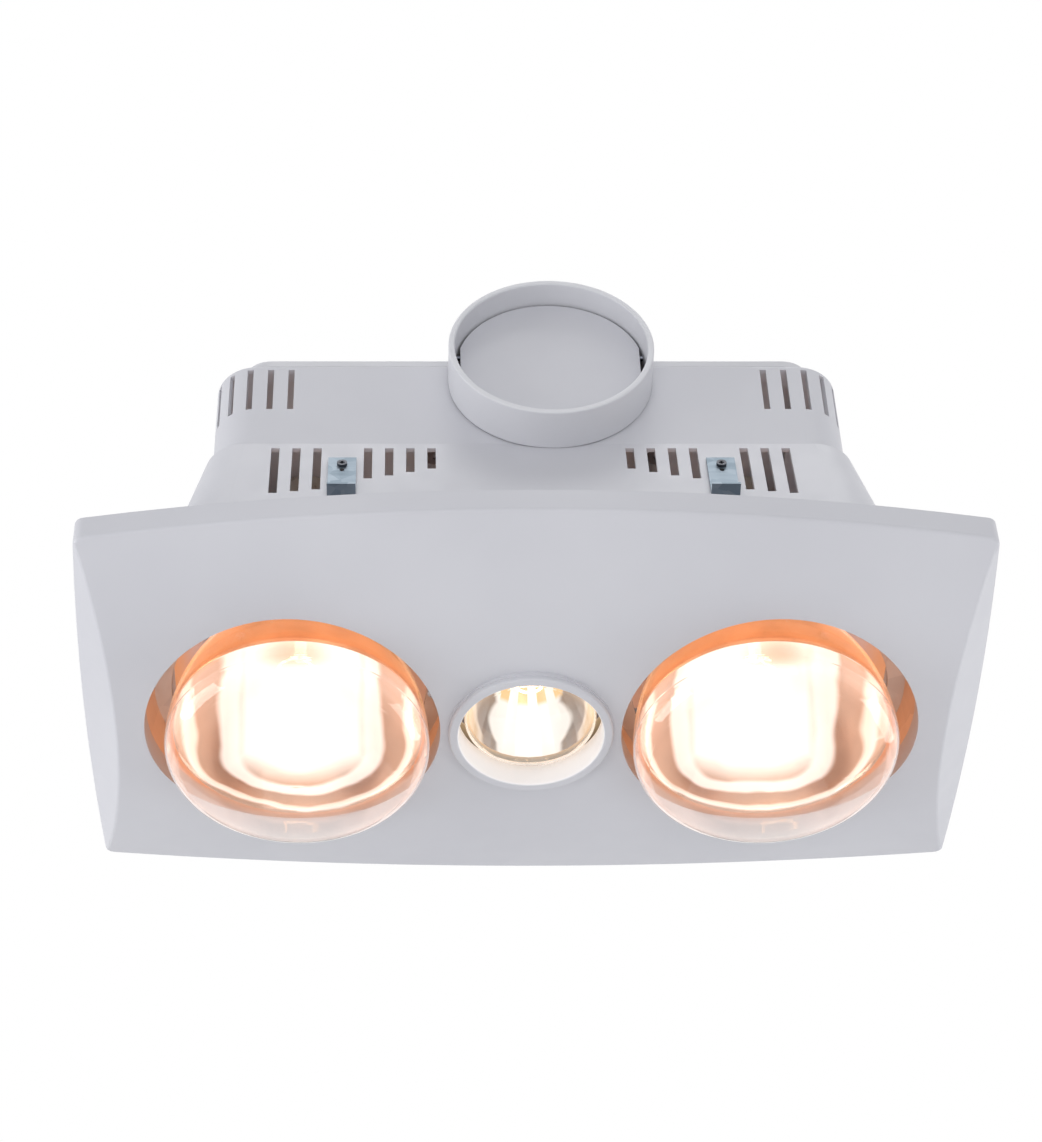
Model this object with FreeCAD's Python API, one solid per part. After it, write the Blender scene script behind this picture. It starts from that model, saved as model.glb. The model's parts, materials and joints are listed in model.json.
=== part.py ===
import FreeCAD, Part
import math
import os

# Ceiling unit for a bathroom: two heat lamps, a centre light and an exhaust fan with a side duct.
# Millimetres. The origin is the middle of the ceiling opening, on the plane where the rim meets the ceiling.
# +X runs along the length, +Z goes up into the ceiling and the duct leaves towards -Y.

# Shared clearances
cut_overrun = 2.0
seat_gap = 0.3
press_gap = 0.02
running_gap = 0.05

# Small screws used all round
screw_radius = 1.8
screw_hole_gap = 0.2
screw_head_radius = 3.4
screw_head = 2.0
screw_length = 9.0
screw_recess_width = 1.0
screw_recess_depth = 0.9

# Heat lamps
heat_lamp_radius = 62.5
heat_lamp_widest_z = -41.0
heat_lamp_dome = 25.0
heat_lamp_rim = 13.0
heat_lamp_belly_share = 0.957
heat_lamp_belly_radius = heat_lamp_belly_share * heat_lamp_radius
heat_lamp_belly_z = -20.0
heat_lamp_shoulder_share = 0.84
heat_lamp_shoulder_radius = heat_lamp_shoulder_share * heat_lamp_radius
heat_lamp_shoulder_z = 0.0
heat_lamp_waist_radius = 24.0
heat_lamp_waist_z = 54.0
heat_lamp_neck_bend_radius = 19.3
heat_lamp_neck_bend_z = 63.0
heat_lamp_neck_radius = 18.0
heat_lamp_neck_z = 73.0
heat_lamp_cap_z = 79.0

# Centre lamp
light_lamp_radius = 31.5
light_lamp_widest_z = -22.0
light_lamp_dome = 9.5
light_lamp_rim = 6.0
light_lamp_belly_share = 0.959
light_lamp_belly_radius = light_lamp_belly_share * light_lamp_radius
light_lamp_belly_z = -12.0
light_lamp_shoulder_share = 0.841
light_lamp_shoulder_radius = light_lamp_shoulder_share * light_lamp_radius
light_lamp_shoulder_z = -1.0
light_lamp_waist_radius = 16.0
light_lamp_waist_z = 25.0
light_lamp_neck_bend_radius = 14.4
light_lamp_neck_bend_z = 30.0
light_lamp_neck_radius = 14.0
light_lamp_neck_z = 36.0
light_lamp_cap_z = 42.0

# Screw caps, stems and filaments of the lamps
glass_wall = 1.0
cap_radius = 13.2
cap_wall = 0.6
cap_length = 25.0
cap_cone = 3.0
cap_contact_radius = 4.5
cap_contact = 1.5
cap_overlap = 5.0
stem_radius = 3.0
stem_disc = 2.0
heat_stem_end_z = 18.0
light_stem_end_z = 11.0
heat_filament_radius = 11.0
light_filament_radius = 7.0
filament_drop = 10.0
filament_wire = 0.7
filament_sweep_degrees = 300.0

# Lampholders
holder_bore_gap = 0.4
holder_wall = 6.4
holder_radius = cap_radius + holder_bore_gap + holder_wall
holder_lift = 4.0
holder_base_radius = 16.0
holder_contact_gap = 1.5
holder_roof = 9.0
holder_ear_offset = 11.0
light_bracket_sheet = 1.5
light_bracket_half_width = 12.0
light_bracket_back_y = 30.0
light_bracket_tab = 16.0
cap_tip_rise = cap_length + cap_cone + cap_contact
light_holder_top = light_lamp_cap_z + cap_tip_rise + holder_contact_gap + holder_roof

# Height of the fan above the centre lampholder
stator_half_height = 21.0
motor_room = 9.0
duct_height = light_holder_top + light_bracket_sheet + screw_head + motor_room + stator_half_height

# Centre light trim ring
ring_lamp_gap = 2.8
ring_opening_radius = light_lamp_radius + ring_lamp_gap
ring_tube_wall = 1.9
ring_tube_radius = ring_opening_radius + ring_tube_wall
ring_overlap = 2.8
ring_outer_radius = ring_tube_radius + ring_overlap
ring_lip = 2.6
ring_tube_top = -20.0
ring_rounding = 1.1
ring_pad_margin = 0.6
ring_pad_proud = 0.4

# Lamp holes and the upstands round them
lamp_hole_gap = 7.5
lamp_hole_radius = heat_lamp_radius + lamp_hole_gap
lamp_upstand_top = -18.5
lamp_ring_gap = 3.8
lamp_hole_offset = lamp_hole_radius + ring_outer_radius + lamp_ring_gap
lamp_hole_shift = 2.4
lamp_offset = lamp_hole_offset - lamp_hole_shift

# Housing
housing_end_room = 21.6
housing_half_length = lamp_offset + holder_radius + housing_end_room
plate_lamp_gap = 8.5
plate_lamp_hole_radius = heat_lamp_shoulder_radius + plate_lamp_gap
housing_side_room = 31.0
housing_half_depth = plate_lamp_hole_radius + housing_side_room
housing_corner_radius = 20.0
housing_wall = 2.5
housing_top_rise = 11.5
housing_top = duct_height + housing_top_rise
housing_top_rounding = 1.5
shoulder_drop = 57.0
shoulder_end_ledge = 3.6
shoulder_height = housing_top - shoulder_drop
skirt_end_flare = 20.0
skirt_half_length = housing_half_length + skirt_end_flare
skirt_side_flare = 13.0
skirt_half_depth = housing_half_depth + skirt_side_flare
skirt_corner_radius = 30.0
flange_end_reach = 18.0
flange_half_length = skirt_half_length + flange_end_reach
flange_side_reach = 3.0
flange_half_depth = skirt_half_depth + flange_side_reach
flange_corner_radius = 24.0
flange_thickness = 2.5
roof_end_ledge = 21.0
top_opening_half_length = housing_half_length - roof_end_ledge
roof_side_ledge = 8.0
top_opening_half_depth = housing_half_depth - roof_side_ledge
top_opening_corner_radius = 12.0

# Fascia
fascia_end_margin = 27.0
fascia_corner_half_length = lamp_hole_offset + lamp_hole_radius + fascia_end_margin
fascia_end_bow = 3.3
fascia_side_margin = 4.0
fascia_corner_half_depth = skirt_half_depth + fascia_side_margin
fascia_front_bow = 18.0
fascia_rear_bow = 11.4
fascia_lip = 13.0
fascia_bulge = 18.5
fascia_wall = 2.5
fascia_corner_radius = 5.0
fascia_lip_rounding = 1.8
fascia_end_slope_share = 0.91
fascia_overreach = 8.0
fascia_section_shares = (-1.05, -0.5, 0.0, 0.5, 1.05)

# Fascia posts and their clips
post_offset_x = 56.0
post_margin = 25.0
post_offset_y = skirt_half_depth - post_margin
post_width = 8.0
post_thickness = 3.0
post_top = 8.0
post_slot_gap = 0.5
clip_thickness = 0.6
clip_foot = 4.0

# Cooling slots
corner_slot_count = 5
corner_slot_pitch = 10.0
corner_slot_first = -17.0
corner_slot_width = 3.0
corner_slot_length = 29.0
corner_slot_drop = 3.0
corner_slot_top = housing_top - corner_slot_drop
corner_slot_bottom = corner_slot_top - corner_slot_length
low_slot_width = 4.0
low_slot_pitch = 10.0
low_slot_drop = 4.0
low_slot_top = shoulder_height - low_slot_drop
short_slot_first = 47.0
short_slot_bottoms = (48.0, 45.0, 42.0, 39.5)
long_slot_first = 101.0
long_slot_bottoms = (30.0, 28.5, 27.0)

# Lid
lid_end_setback = 12.0
lid_half_length = housing_half_length - lid_end_setback
lid_side_setback = 0.6
lid_half_depth = housing_half_depth - lid_side_setback
lid_corner_radius = 15.0
lid_height = 5.0
lid_sheet = 1.5
lid_edge_rounding = 1.2
lid_screw_inset = 4.5
lid_screw_offset_y = 58.0

# Duct collar, flap and tunnel
duct_x = 10.8
duct_radius = 49.5
duct_wall = 3.0
duct_reach = 23.0
duct_rim_y = -(housing_half_depth + duct_reach)
collar_inner_length = 12.0
collar_back_y = -(housing_half_depth - collar_inner_length)
collar_rim_rounding = 0.8
collar_neck_step = 1.0
collar_shoulder_gap = 1.0
tunnel_length = 44.0
tunnel_back_y = collar_back_y + tunnel_length
ear_radius = 5.5
ear_length = 6.0
collar_ear_length = 3.0
ear_standoff = 4.6
collar_ear_angle_degrees = 25.31
flap_front_setback = 13.0
flap_thickness = 2.0
flap_gap = 1.1
flap_flat_inset = 3.0
flap_pivot_rise = 10.0
flap_hub_radius = 2.8
flap_hub_setback = 1.8
flap_hub_inset = 6.0
flap_pin_radius = 1.25
flap_pin_inset = 1.5
flap_stop_width = 3.0
flap_stop_depth = 2.0
flap_stop_rise = 22.0

# Fan hood on the lid
hood_gap = 0.5
hood_wall = 2.5
hood_flange_width = 11.0
hood_flange = 2.0
hood_flange_setback = 4.0
hood_flange_front_y = -(housing_half_depth - hood_flange_setback)
hood_screw_setback = 20.0
hood_screw_front_y = -(housing_half_depth - hood_screw_setback)
hood_room = 11.0

# Fan impeller
fan_back_setback = 2.0
fan_back_y = tunnel_back_y - fan_back_setback
fan_length = 18.0
fan_front_y = fan_back_y - fan_length
fan_hub_radius = 14.0
fan_hub_wall = 2.0
fan_boss_radius = 4.0
fan_tip_gap = 2.0
fan_blade_count = 5
fan_blade_chord = 26.0
fan_blade_thickness = 1.6
fan_blade_pitch_degrees = 38.0

# Fan motor
shaft_radius = 2.0
shaft_nose = 1.5
shaft_front_y = fan_front_y - shaft_nose
strap_thickness = 1.5
strap_half_height = 6.0
strap_ear_standoff = 6.5
strap_pad_half_width = 9.0
strap_pad_half_height = 21.0
bracket_thickness = 2.0
bracket_half_width = 7.0
bracket_boss_radius = 6.5
bracket_boss_length = 4.0
front_pillar = 5.0
rear_pillar = 2.5
pillar_radius = 3.2
bearing_radius = 4.0
stator_length = 16.0
stator_left = 21.0
stator_right = 34.0
stator_bore_radius = 13.2
stator_window_near = 16.0
stator_window_far = 27.0
stator_window_half_height = 13.0
stator_corner = 4.0
rotor_gap = 0.4
rotor_end_gap = 0.5
coil_build = 6.5
coil_rounding = 3.0
motor_screw_rise = 17.0
motor_screw_radius = 1.5
motor_screw_hole_radius = 1.7
motor_screw_head_radius = 2.8
motor_screw_head = 2.0
shaft_tail = 2.0

# Base plate under the housing flange
plate_thickness = 1.0
plate_end_margin = 2.0
plate_half_length = flange_half_length - plate_end_margin
plate_side_margin = 5.0
plate_half_depth = flange_half_depth - plate_side_margin
plate_corner_radius = 22.0
plate_light_gap = 8.5
plate_light_hole_radius = light_lamp_radius + plate_light_gap
plate_screw_margin = 9.0
plate_screw_x = skirt_half_length + plate_screw_margin
plate_screw_y = 60.0

# Heat shields
shield_sheet = 0.8
shield_flange = 9.0
shield_flange_radius = plate_lamp_hole_radius + shield_flange
shield_flare = 4.0
shield_mouth_radius = shield_flange_radius + shield_flare
shield_mouth_gap = 1.0
shield_screw_margin = 4.0
shield_screw_radius = plate_lamp_hole_radius + shield_screw_margin
shield_screw_count = 3

# Ceiling clamps
clamp_offset_x = 89.0
clamp_half_width = 6.65
clamp_sheet = 1.5
clamp_foot_z = 24.0
clamp_height = 31.0
clamp_foot = 5.2
clamp_screw_z = 48.5
clamp_tab_hole_drop = 4.5
clamp_tab_hole_radius = 1.1
clamp_screw_radius = 1.5
clamp_screw_head_radius = 2.4
clamp_screw_head = 1.4
clamp_nut_half_width = 4.0
clamp_nut = 2.4
clamp_slot_half_width = 1.9
clamp_slot_up = 4.5
clamp_slot_down = 14.5

# Terminal box on the lid
terminal_cover_half_length = 32.0
terminal_cover_half_depth = 24.0
terminal_end_gap = 16.0
terminal_x = -(lid_half_length - terminal_cover_half_length - terminal_end_gap)
terminal_screw_gap = 3.6
terminal_y = holder_ear_offset + screw_head_radius + terminal_screw_gap + terminal_cover_half_depth
terminal_cover_height = 27.0
terminal_cover_wall = 2.0
terminal_cover_corner = 6.0
terminal_block_half_length = 16.0
terminal_block_half_depth = 8.0
terminal_block_height = 13.0
terminal_block_setback = 2.0
terminal_well_count = 3
terminal_well_radius = 2.6
terminal_well_depth = 5.0
gland_height = 14.0
gland_bore_radius = 5.0
gland_thread_radius = 7.5
gland_nut_radius = 10.5
gland_nut = 5.0
gland_dome_radius = 9.0
gland_dome = 12.0
gland_dome_rounding = 2.0
gland_inner = 3.0
earth_screw_offset_x = 24.0

# Thermal cut-out under the lid
cutout_end_gap = 78.0
cutout_x = lid_half_length - cutout_end_gap
cutout_side_gap = 39.4
cutout_y = lid_half_depth - cutout_side_gap
cutout_radius = 8.0
cutout_height = 9.0
cutout_flange_radius = 12.0
cutout_flange = 1.0

# Internal leads
lead_radius = 1.3
lead_bend_radius = 7.0
lead_drop = 6.0
lead_level = housing_top - lead_drop
coil_lead_drop = 1.5
coil_lead_level = duct_height - coil_lead_drop
far_lead_drop = 8.5
far_lead_level = duct_height - far_lead_drop
light_lead_drop = 8.0
light_lead_level = light_holder_top - light_lead_drop
coil_lead_gap = 1.2
lead_start_rise = 4.0
lead_start = housing_top + lid_height + lead_start_rise
lead_hole_radius = 6.0
lead_hole_setback = 18.0
lead_hole_y = terminal_y + lead_hole_setback

# Sizes that follow from the ones above
fascia_half_length = fascia_corner_half_length + fascia_end_bow
fascia_low = -(fascia_lip + fascia_bulge)
lid_top = housing_top + lid_height
lid_underside = lid_top - lid_sheet
duct_bore_radius = duct_radius - duct_wall
collar_neck_radius = duct_radius - collar_neck_step
collar_ear_side = (collar_neck_radius + ear_standoff) * math.cos(math.radians(collar_ear_angle_degrees))
collar_ear_drop = (collar_neck_radius + ear_standoff) * math.sin(math.radians(collar_ear_angle_degrees))
flap_flat_half_width = duct_bore_radius - flap_flat_inset
flap_hub_half_length = math.sqrt(duct_bore_radius ** 2 - flap_pivot_rise ** 2) - flap_hub_inset
flap_pin_half_length = math.sqrt(duct_radius ** 2 - flap_pivot_rise ** 2) - flap_pin_inset
flap_stop_drop = duct_bore_radius - flap_stop_rise
strap_ear_offset = collar_neck_radius + strap_ear_standoff
coil_lead_lane = duct_x + strap_ear_offset + ear_radius + coil_lead_gap
lid_cutout_half_width = math.sqrt(collar_neck_radius ** 2 - (housing_top - duct_height) ** 2) + seat_gap
flap_middle_y = duct_rim_y + flap_front_setback + flap_thickness / 2
flap_pivot_y = flap_middle_y + flap_thickness / 2 + flap_hub_setback
flap_pivot_z = duct_height + flap_pivot_rise
plate_top = -flange_thickness
plate_low = plate_top - plate_thickness
strap_front_y = tunnel_back_y
strap_back_y = strap_front_y + strap_thickness
stator_front_y = strap_back_y + bracket_thickness + front_pillar
stator_back_y = stator_front_y + stator_length
motor_rear_y = stator_back_y + rear_pillar + bracket_thickness
shaft_back_y = motor_rear_y + shaft_tail
hood_back_y = shaft_back_y + hood_room
skirt_tilt = math.atan2(skirt_half_depth - housing_half_depth, shoulder_height)
screw_hole_radius = screw_radius + screw_hole_gap

V = FreeCAD.Vector
sides = {"left": -1, "right": 1}


# Plain shapes

def block(x_span, y_span, z_span):
    corner = V(x_span[0], y_span[0], z_span[0])
    return Part.makeBox(x_span[1] - x_span[0], y_span[1] - y_span[0], z_span[1] - z_span[0], corner)


def upright(radius, z_span, centre=(0, 0)):
    return Part.makeCylinder(radius, z_span[1] - z_span[0], V(centre[0], centre[1], z_span[0]))


def crosswise(radius, y_span, x, z):
    return Part.makeCylinder(radius, y_span[1] - y_span[0], V(x, y_span[0], z), V(0, 1, 0))


def lengthwise(radius, x_span, y, z):
    return Part.makeCylinder(radius, x_span[1] - x_span[0], V(x_span[0], y, z), V(1, 0, 0))


def line(start, end):
    return Part.LineSegment(start, end).toShape()


def arc(start, middle, end):
    return Part.Arc(start, middle, end).toShape()


def rounded_outline(half_length, half_depth, corner, height, middle=(0, 0)):
    arcs = []
    for step, (along, across) in enumerate(((1, -1), (1, 1), (-1, 1), (-1, -1))):
        centre = V(middle[0] + along * (half_length - corner),
                   middle[1] + across * (half_depth - corner), height)
        start = (step - 1) * math.pi / 2
        circle = Part.Circle(centre, V(0, 0, 1), corner)
        arcs.append(Part.ArcOfCircle(circle, start, start + math.pi / 2).toShape())
    edges = []
    for this, after in zip(arcs, arcs[1:] + arcs[:1]):
        edges += [this, line(this.Vertexes[-1].Point, after.Vertexes[0].Point)]
    return Part.Wire(edges)


def rounded_slab(half_length, half_depth, corner, z_span, middle=(0, 0)):
    outline = rounded_outline(half_length, half_depth, corner, z_span[0], middle)
    return Part.Face(outline).extrude(V(0, 0, z_span[1] - z_span[0]))


def spun_edges(edges, centre=(0, 0)):
    outline = Part.Wire(Part.sortEdges(edges)[0])
    shape = Part.Face(outline).revolve(V(0, 0, 0), V(0, 0, 1), 360)
    shape.translate(V(centre[0], centre[1], 0))
    return shape


def spun(outline, centre=(0, 0)):
    points = [V(radius, 0, height) for radius, height in outline]
    edges = [line(a, b) for a, b in zip(points, points[1:] + points[:1])]
    return spun_edges(edges, centre)


def joined(shapes):
    return shapes[0].fuse(shapes[1:]).removeSplitter()


def without(shape, tools):
    return shape.cut(tools)


def moved(shape, x=0, y=0, z=0):
    copy = shape.copy()
    copy.translate(V(x, y, z))
    return copy


def turned(shape, centre, axis, degrees):
    copy = shape.copy()
    copy.rotate(centre, axis, degrees)
    return copy


def flipped_y(shape):
    return shape.mirror(V(0, 0, 0), V(0, 1, 0))


# A pan-head screw whose head sits at the start and whose shank points along the direction.

def screw(start, direction, length=screw_length, radius=screw_radius, head_radius=screw_head_radius,
          head=screw_head):
    shank = Part.makeCylinder(radius, length, start, direction)
    cap = Part.makeCylinder(head_radius, head, start, direction * -1)
    body = shank.fuse(cap).removeSplitter()
    on_head = FreeCAD.Placement(start - direction * head, FreeCAD.Rotation(V(0, 0, 1), direction * -1))
    for degrees in (0, 90):
        recess = Part.makeBox(head_radius, screw_recess_width, screw_recess_depth + cut_overrun)
        recess.translate(V(-head_radius / 2, -screw_recess_width / 2, -screw_recess_depth))
        recess.rotate(V(0, 0, 0), V(0, 0, 1), degrees)
        recess.Placement = on_head.multiply(recess.Placement)
        body = body.cut(recess)
    return body


# Fascia: bowed outline, bulged underside and sloped ends

def fascia_half_depth(along, bow):
    share = along / fascia_half_length
    return fascia_corner_half_depth + bow * (1 - share ** 2)


def fascia_arch(along):
    front = fascia_half_depth(along, fascia_front_bow)
    rear = fascia_half_depth(along, fascia_rear_bow)
    half = (front + rear) / 2
    radius = (half ** 2 + fascia_bulge ** 2) / (2 * fascia_bulge)
    return (rear - front) / 2, half, radius, fascia_low + radius


def fascia_surface(x, y, inset=0):
    middle, half, radius, centre = fascia_arch(x)
    return centre - math.sqrt((radius - inset) ** 2 - (y - middle) ** 2)


def fascia_outline(inset):
    length = fascia_corner_half_length - inset
    depth = fascia_corner_half_depth - inset
    corners = [V(-length, -depth, 0), V(length, -depth, 0), V(length, depth, 0), V(-length, depth, 0)]
    middles = [V(0, -depth - fascia_front_bow, 0), V(length + fascia_end_bow, 0, 0),
               V(0, depth + fascia_rear_bow, 0), V(-length - fascia_end_bow, 0, 0)]
    edges = [arc(a, m, b) for a, m, b in zip(corners, middles, corners[1:] + corners[:1])]
    return Part.Wire(edges)


def fascia_section(along, inset):
    middle, half, radius, centre = fascia_arch(along)
    reach = half + fascia_overreach
    edge = centre - math.sqrt((radius - inset) ** 2 - reach ** 2)
    front_top = V(along, middle - reach, fascia_overreach)
    front_low = V(along, middle - reach, edge)
    lowest = V(along, middle, centre - radius + inset)
    rear_low = V(along, middle + reach, edge)
    rear_top = V(along, middle + reach, fascia_overreach)
    return Part.Wire([line(front_top, front_low), arc(front_low, lowest, rear_low), line(rear_low, rear_top),
                      line(rear_top, front_top)])


def fascia_end_cutter(inset):
    reach = fascia_corner_half_depth + fascia_overreach
    end = fascia_half_length - inset * math.hypot(1, fascia_end_slope_share)
    end += fascia_end_slope_share * fascia_overreach
    setback = fascia_end_bow * (reach / fascia_corner_half_depth) ** 2
    outer = end + fascia_bulge
    start = fascia_overreach - fascia_lip
    front = V(end - setback, -reach, start)
    rear = V(end - setback, reach, start)
    front_outer = V(outer, -reach, start)
    rear_outer = V(outer, reach, start)
    outline = Part.Wire([arc(front, V(end, 0, start), rear), line(rear, rear_outer),
                         line(rear_outer, front_outer), line(front_outer, front)])
    depth = fascia_overreach + fascia_bulge + cut_overrun
    return Part.Face(outline).extrude(V(-fascia_end_slope_share * depth, 0, -depth))


def fascia_form(inset):
    prism = Part.Face(fascia_outline(inset)).extrude(V(0, 0, fascia_low - cut_overrun))
    corners = [edge for edge in prism.Edges if abs(edge.tangentAt(edge.FirstParameter).z) > 0.99]
    prism = prism.makeFillet(fascia_corner_radius - inset, corners)
    sections = [fascia_section(share * fascia_half_length, inset) for share in fascia_section_shares]
    form = prism.common(Part.makeLoft(sections, True))
    cutter = fascia_end_cutter(inset)
    return form.cut([cutter, cutter.mirror(V(0, 0, 0), V(1, 0, 0))])


def fascia_rounded(form):
    lip_edges = []
    for edge in form.Edges:
        box = edge.BoundBox
        if box.ZMax < -fascia_lip / 2 and box.ZMax > fascia_low + fascia_wall:
            lip_edges.append(edge)
    return form.makeFillet(fascia_lip_rounding, lip_edges)


def fascia_post(x, y):
    low = fascia_surface(x, y, fascia_wall / 2)
    return block((x - post_width / 2, x + post_width / 2), (y - post_thickness / 2, y + post_thickness / 2),
                 (low, post_top))


def post_places():
    return [(x, y) for x in (-post_offset_x, post_offset_x) for y in (-post_offset_y, post_offset_y)]


def make_fascia():
    outer = fascia_rounded(fascia_form(0))
    shell = outer.cut(fascia_form(fascia_wall).fuse(block(
        (-fascia_corner_half_length + fascia_wall, fascia_corner_half_length - fascia_wall),
        (-fascia_corner_half_depth + fascia_wall, fascia_corner_half_depth - fascia_wall),
        (-fascia_lip / 2, cut_overrun))))
    pad_radius = ring_outer_radius + ring_pad_margin
    additions = [upright(pad_radius, (fascia_low - ring_pad_proud, fascia_low + fascia_wall))]
    holes = [upright(ring_tube_radius + seat_gap, (fascia_low - fascia_wall, 0))]
    for side in sides.values():
        centre = (side * lamp_hole_offset, 0)
        upstand = upright(lamp_hole_radius + fascia_wall, (fascia_low, lamp_upstand_top), centre)
        additions.append(upstand.common(outer))
        holes.append(upright(lamp_hole_radius, (fascia_low - cut_overrun, 0), centre))
    additions += [fascia_post(x, y) for x, y in post_places()]
    return without(joined([shell] + additions), holes)


def make_fascia_clips():
    clips = []
    for x, y in post_places():
        inward = -1 if y > 0 else 1
        face = y + inward * post_thickness / 2
        leaf_y = sorted((face, face + inward * clip_thickness))
        foot_y = sorted((face, face + inward * clip_foot))
        x_span = (x - post_width / 2, x + post_width / 2)
        leaf = block(x_span, leaf_y, (plate_top, post_top))
        foot = block(x_span, foot_y, (plate_top, plate_top + clip_thickness))
        clips.append(joined([leaf, foot]))
    return Part.makeCompound(clips)


def make_light_trim_ring():
    seat = fascia_low - ring_pad_proud
    ring = spun([(ring_opening_radius, seat - ring_lip), (ring_outer_radius, seat - ring_lip),
                 (ring_outer_radius, seat), (ring_tube_radius, seat), (ring_tube_radius, ring_tube_top),
                 (ring_opening_radius, ring_tube_top)])
    low_edges = [edge for edge in ring.Edges if edge.BoundBox.ZMax < seat - ring_lip / 2
                 and edge.BoundBox.ZLength < ring_lip / 2]
    return ring.makeFillet(ring_rounding, low_edges)


# Housing shell with its skirt, flange and slots

def housing_form(inset, low, top):
    box_sizes = (housing_half_length - inset, housing_half_depth - inset, housing_corner_radius - inset)
    skirt_sizes = (skirt_half_length - inset, skirt_half_depth - inset, skirt_corner_radius - inset)
    shoulder = shoulder_height - inset
    rise_share = shoulder / shoulder_height
    full_sizes = (housing_half_length + shoulder_end_ledge - inset, box_sizes[1], box_sizes[2])
    shoulder_sizes = [low_size + rise_share * (full_size - low_size)
                      for low_size, full_size in zip(skirt_sizes, full_sizes)]
    skirt = Part.makeLoft([rounded_outline(*skirt_sizes, 0), rounded_outline(*shoulder_sizes, shoulder)],
                          True, True)
    box = rounded_slab(*box_sizes, (shoulder, top))
    root = rounded_slab(*skirt_sizes, (low, 0))
    return joined([skirt, box, root])


def in_four_corners(shape):
    across = shape.mirror(V(0, 0, 0), V(1, 0, 0))
    return [shape, across, flipped_y(shape), flipped_y(across)]


def corner_slot_cutters():
    cutters = []
    depth = housing_wall + 2 * cut_overrun
    corner_x = housing_half_length - housing_corner_radius
    corner_y = -housing_half_depth + housing_corner_radius
    for number in range(corner_slot_count):
        run = corner_slot_first + number * corner_slot_pitch
        x = corner_x + min(run, 0)
        slot = block((x - corner_slot_width / 2, x + corner_slot_width / 2),
                     (-housing_half_depth - cut_overrun, -housing_half_depth - cut_overrun + depth),
                     (corner_slot_bottom, corner_slot_top))
        angle = math.degrees(max(run, 0) / housing_corner_radius)
        cutters += in_four_corners(turned(slot, V(corner_x, corner_y, 0), V(0, 0, 1), angle))
    return cutters


def low_slot_cutters():
    cutters = []
    depth_span = (-skirt_half_depth - cut_overrun, -housing_half_depth + housing_wall + cut_overrun)
    for first, bottoms in ((short_slot_first, short_slot_bottoms), (long_slot_first, long_slot_bottoms)):
        for number, bottom in enumerate(bottoms):
            x = first + number * low_slot_pitch
            slot = block((x - low_slot_width / 2, x + low_slot_width / 2), depth_span, (bottom, low_slot_top))
            cutters += in_four_corners(slot)
    return cutters


def clamp_places():
    return [(row + "_" + side, sign * clamp_offset_x, row == "rear")
            for row in ("front", "rear") for side, sign in sides.items()]


def on_skirt(shape, x, rear):
    # Shapes drawn flat, with the skirt face as the plane y = 0, are leaned back onto the skirt at x.
    leaned = turned(shape, V(0, 0, 0), V(1, 0, 0), -math.degrees(skirt_tilt))
    placed = moved(leaned, x, -skirt_half_depth)
    return flipped_y(placed) if rear else placed


def along_skirt(height):
    return height / math.cos(skirt_tilt)


def clamp_slot_cutter(x, rear):
    middle = along_skirt(clamp_screw_z)
    span = (middle - clamp_slot_down, middle + clamp_slot_up)
    reach = (-cut_overrun, housing_wall + 2 * cut_overrun)
    ends = [crosswise(clamp_slot_half_width, reach, 0, height) for height in span]
    body = block((-clamp_slot_half_width, clamp_slot_half_width), reach, span)
    return on_skirt(joined([body] + ends), x, rear)


def plate_screw_places():
    return [(x, y) for x in (-plate_screw_x, plate_screw_x) for y in (-plate_screw_y, plate_screw_y)]


def make_housing_shell():
    outer = housing_form(0, -flange_thickness, housing_top)
    top_edges = [edge for edge in outer.Edges if edge.BoundBox.ZMin > housing_top - housing_top_rounding]
    outer = outer.makeFillet(housing_top_rounding, top_edges)
    flange = rounded_slab(flange_half_length, flange_half_depth, flange_corner_radius, (-flange_thickness, 0))
    inner = housing_form(housing_wall, -flange_thickness - cut_overrun, housing_top - housing_wall)
    roof_span = (housing_top - housing_wall - cut_overrun, housing_top + cut_overrun)
    opening = rounded_slab(top_opening_half_length, top_opening_half_depth, top_opening_corner_radius,
                           roof_span)
    notch_y = (-housing_half_depth - cut_overrun, -top_opening_half_depth + cut_overrun)
    notch = crosswise(collar_neck_radius + seat_gap, notch_y, duct_x, duct_height)
    cutters = [inner, opening, notch] + corner_slot_cutters() + low_slot_cutters()
    cutters += [clamp_slot_cutter(x, rear) for name, x, rear in clamp_places()]
    cutters += [upright(screw_hole_radius, (-flange_thickness - cut_overrun, cut_overrun), place)
                for place in plate_screw_places()]
    cutters += [upright(screw_hole_radius, roof_span, place) for place in lid_screw_places()]
    return without(joined([outer, flange]), cutters)


# Lid, hood and what sits on top

def lid_screw_places():
    across = lid_half_length - lid_screw_inset
    return [(x, y) for x in (-across, across) for y in (-lid_screw_offset_y, lid_screw_offset_y)]


def hood_inner_radius():
    return collar_neck_radius + hood_gap


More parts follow.
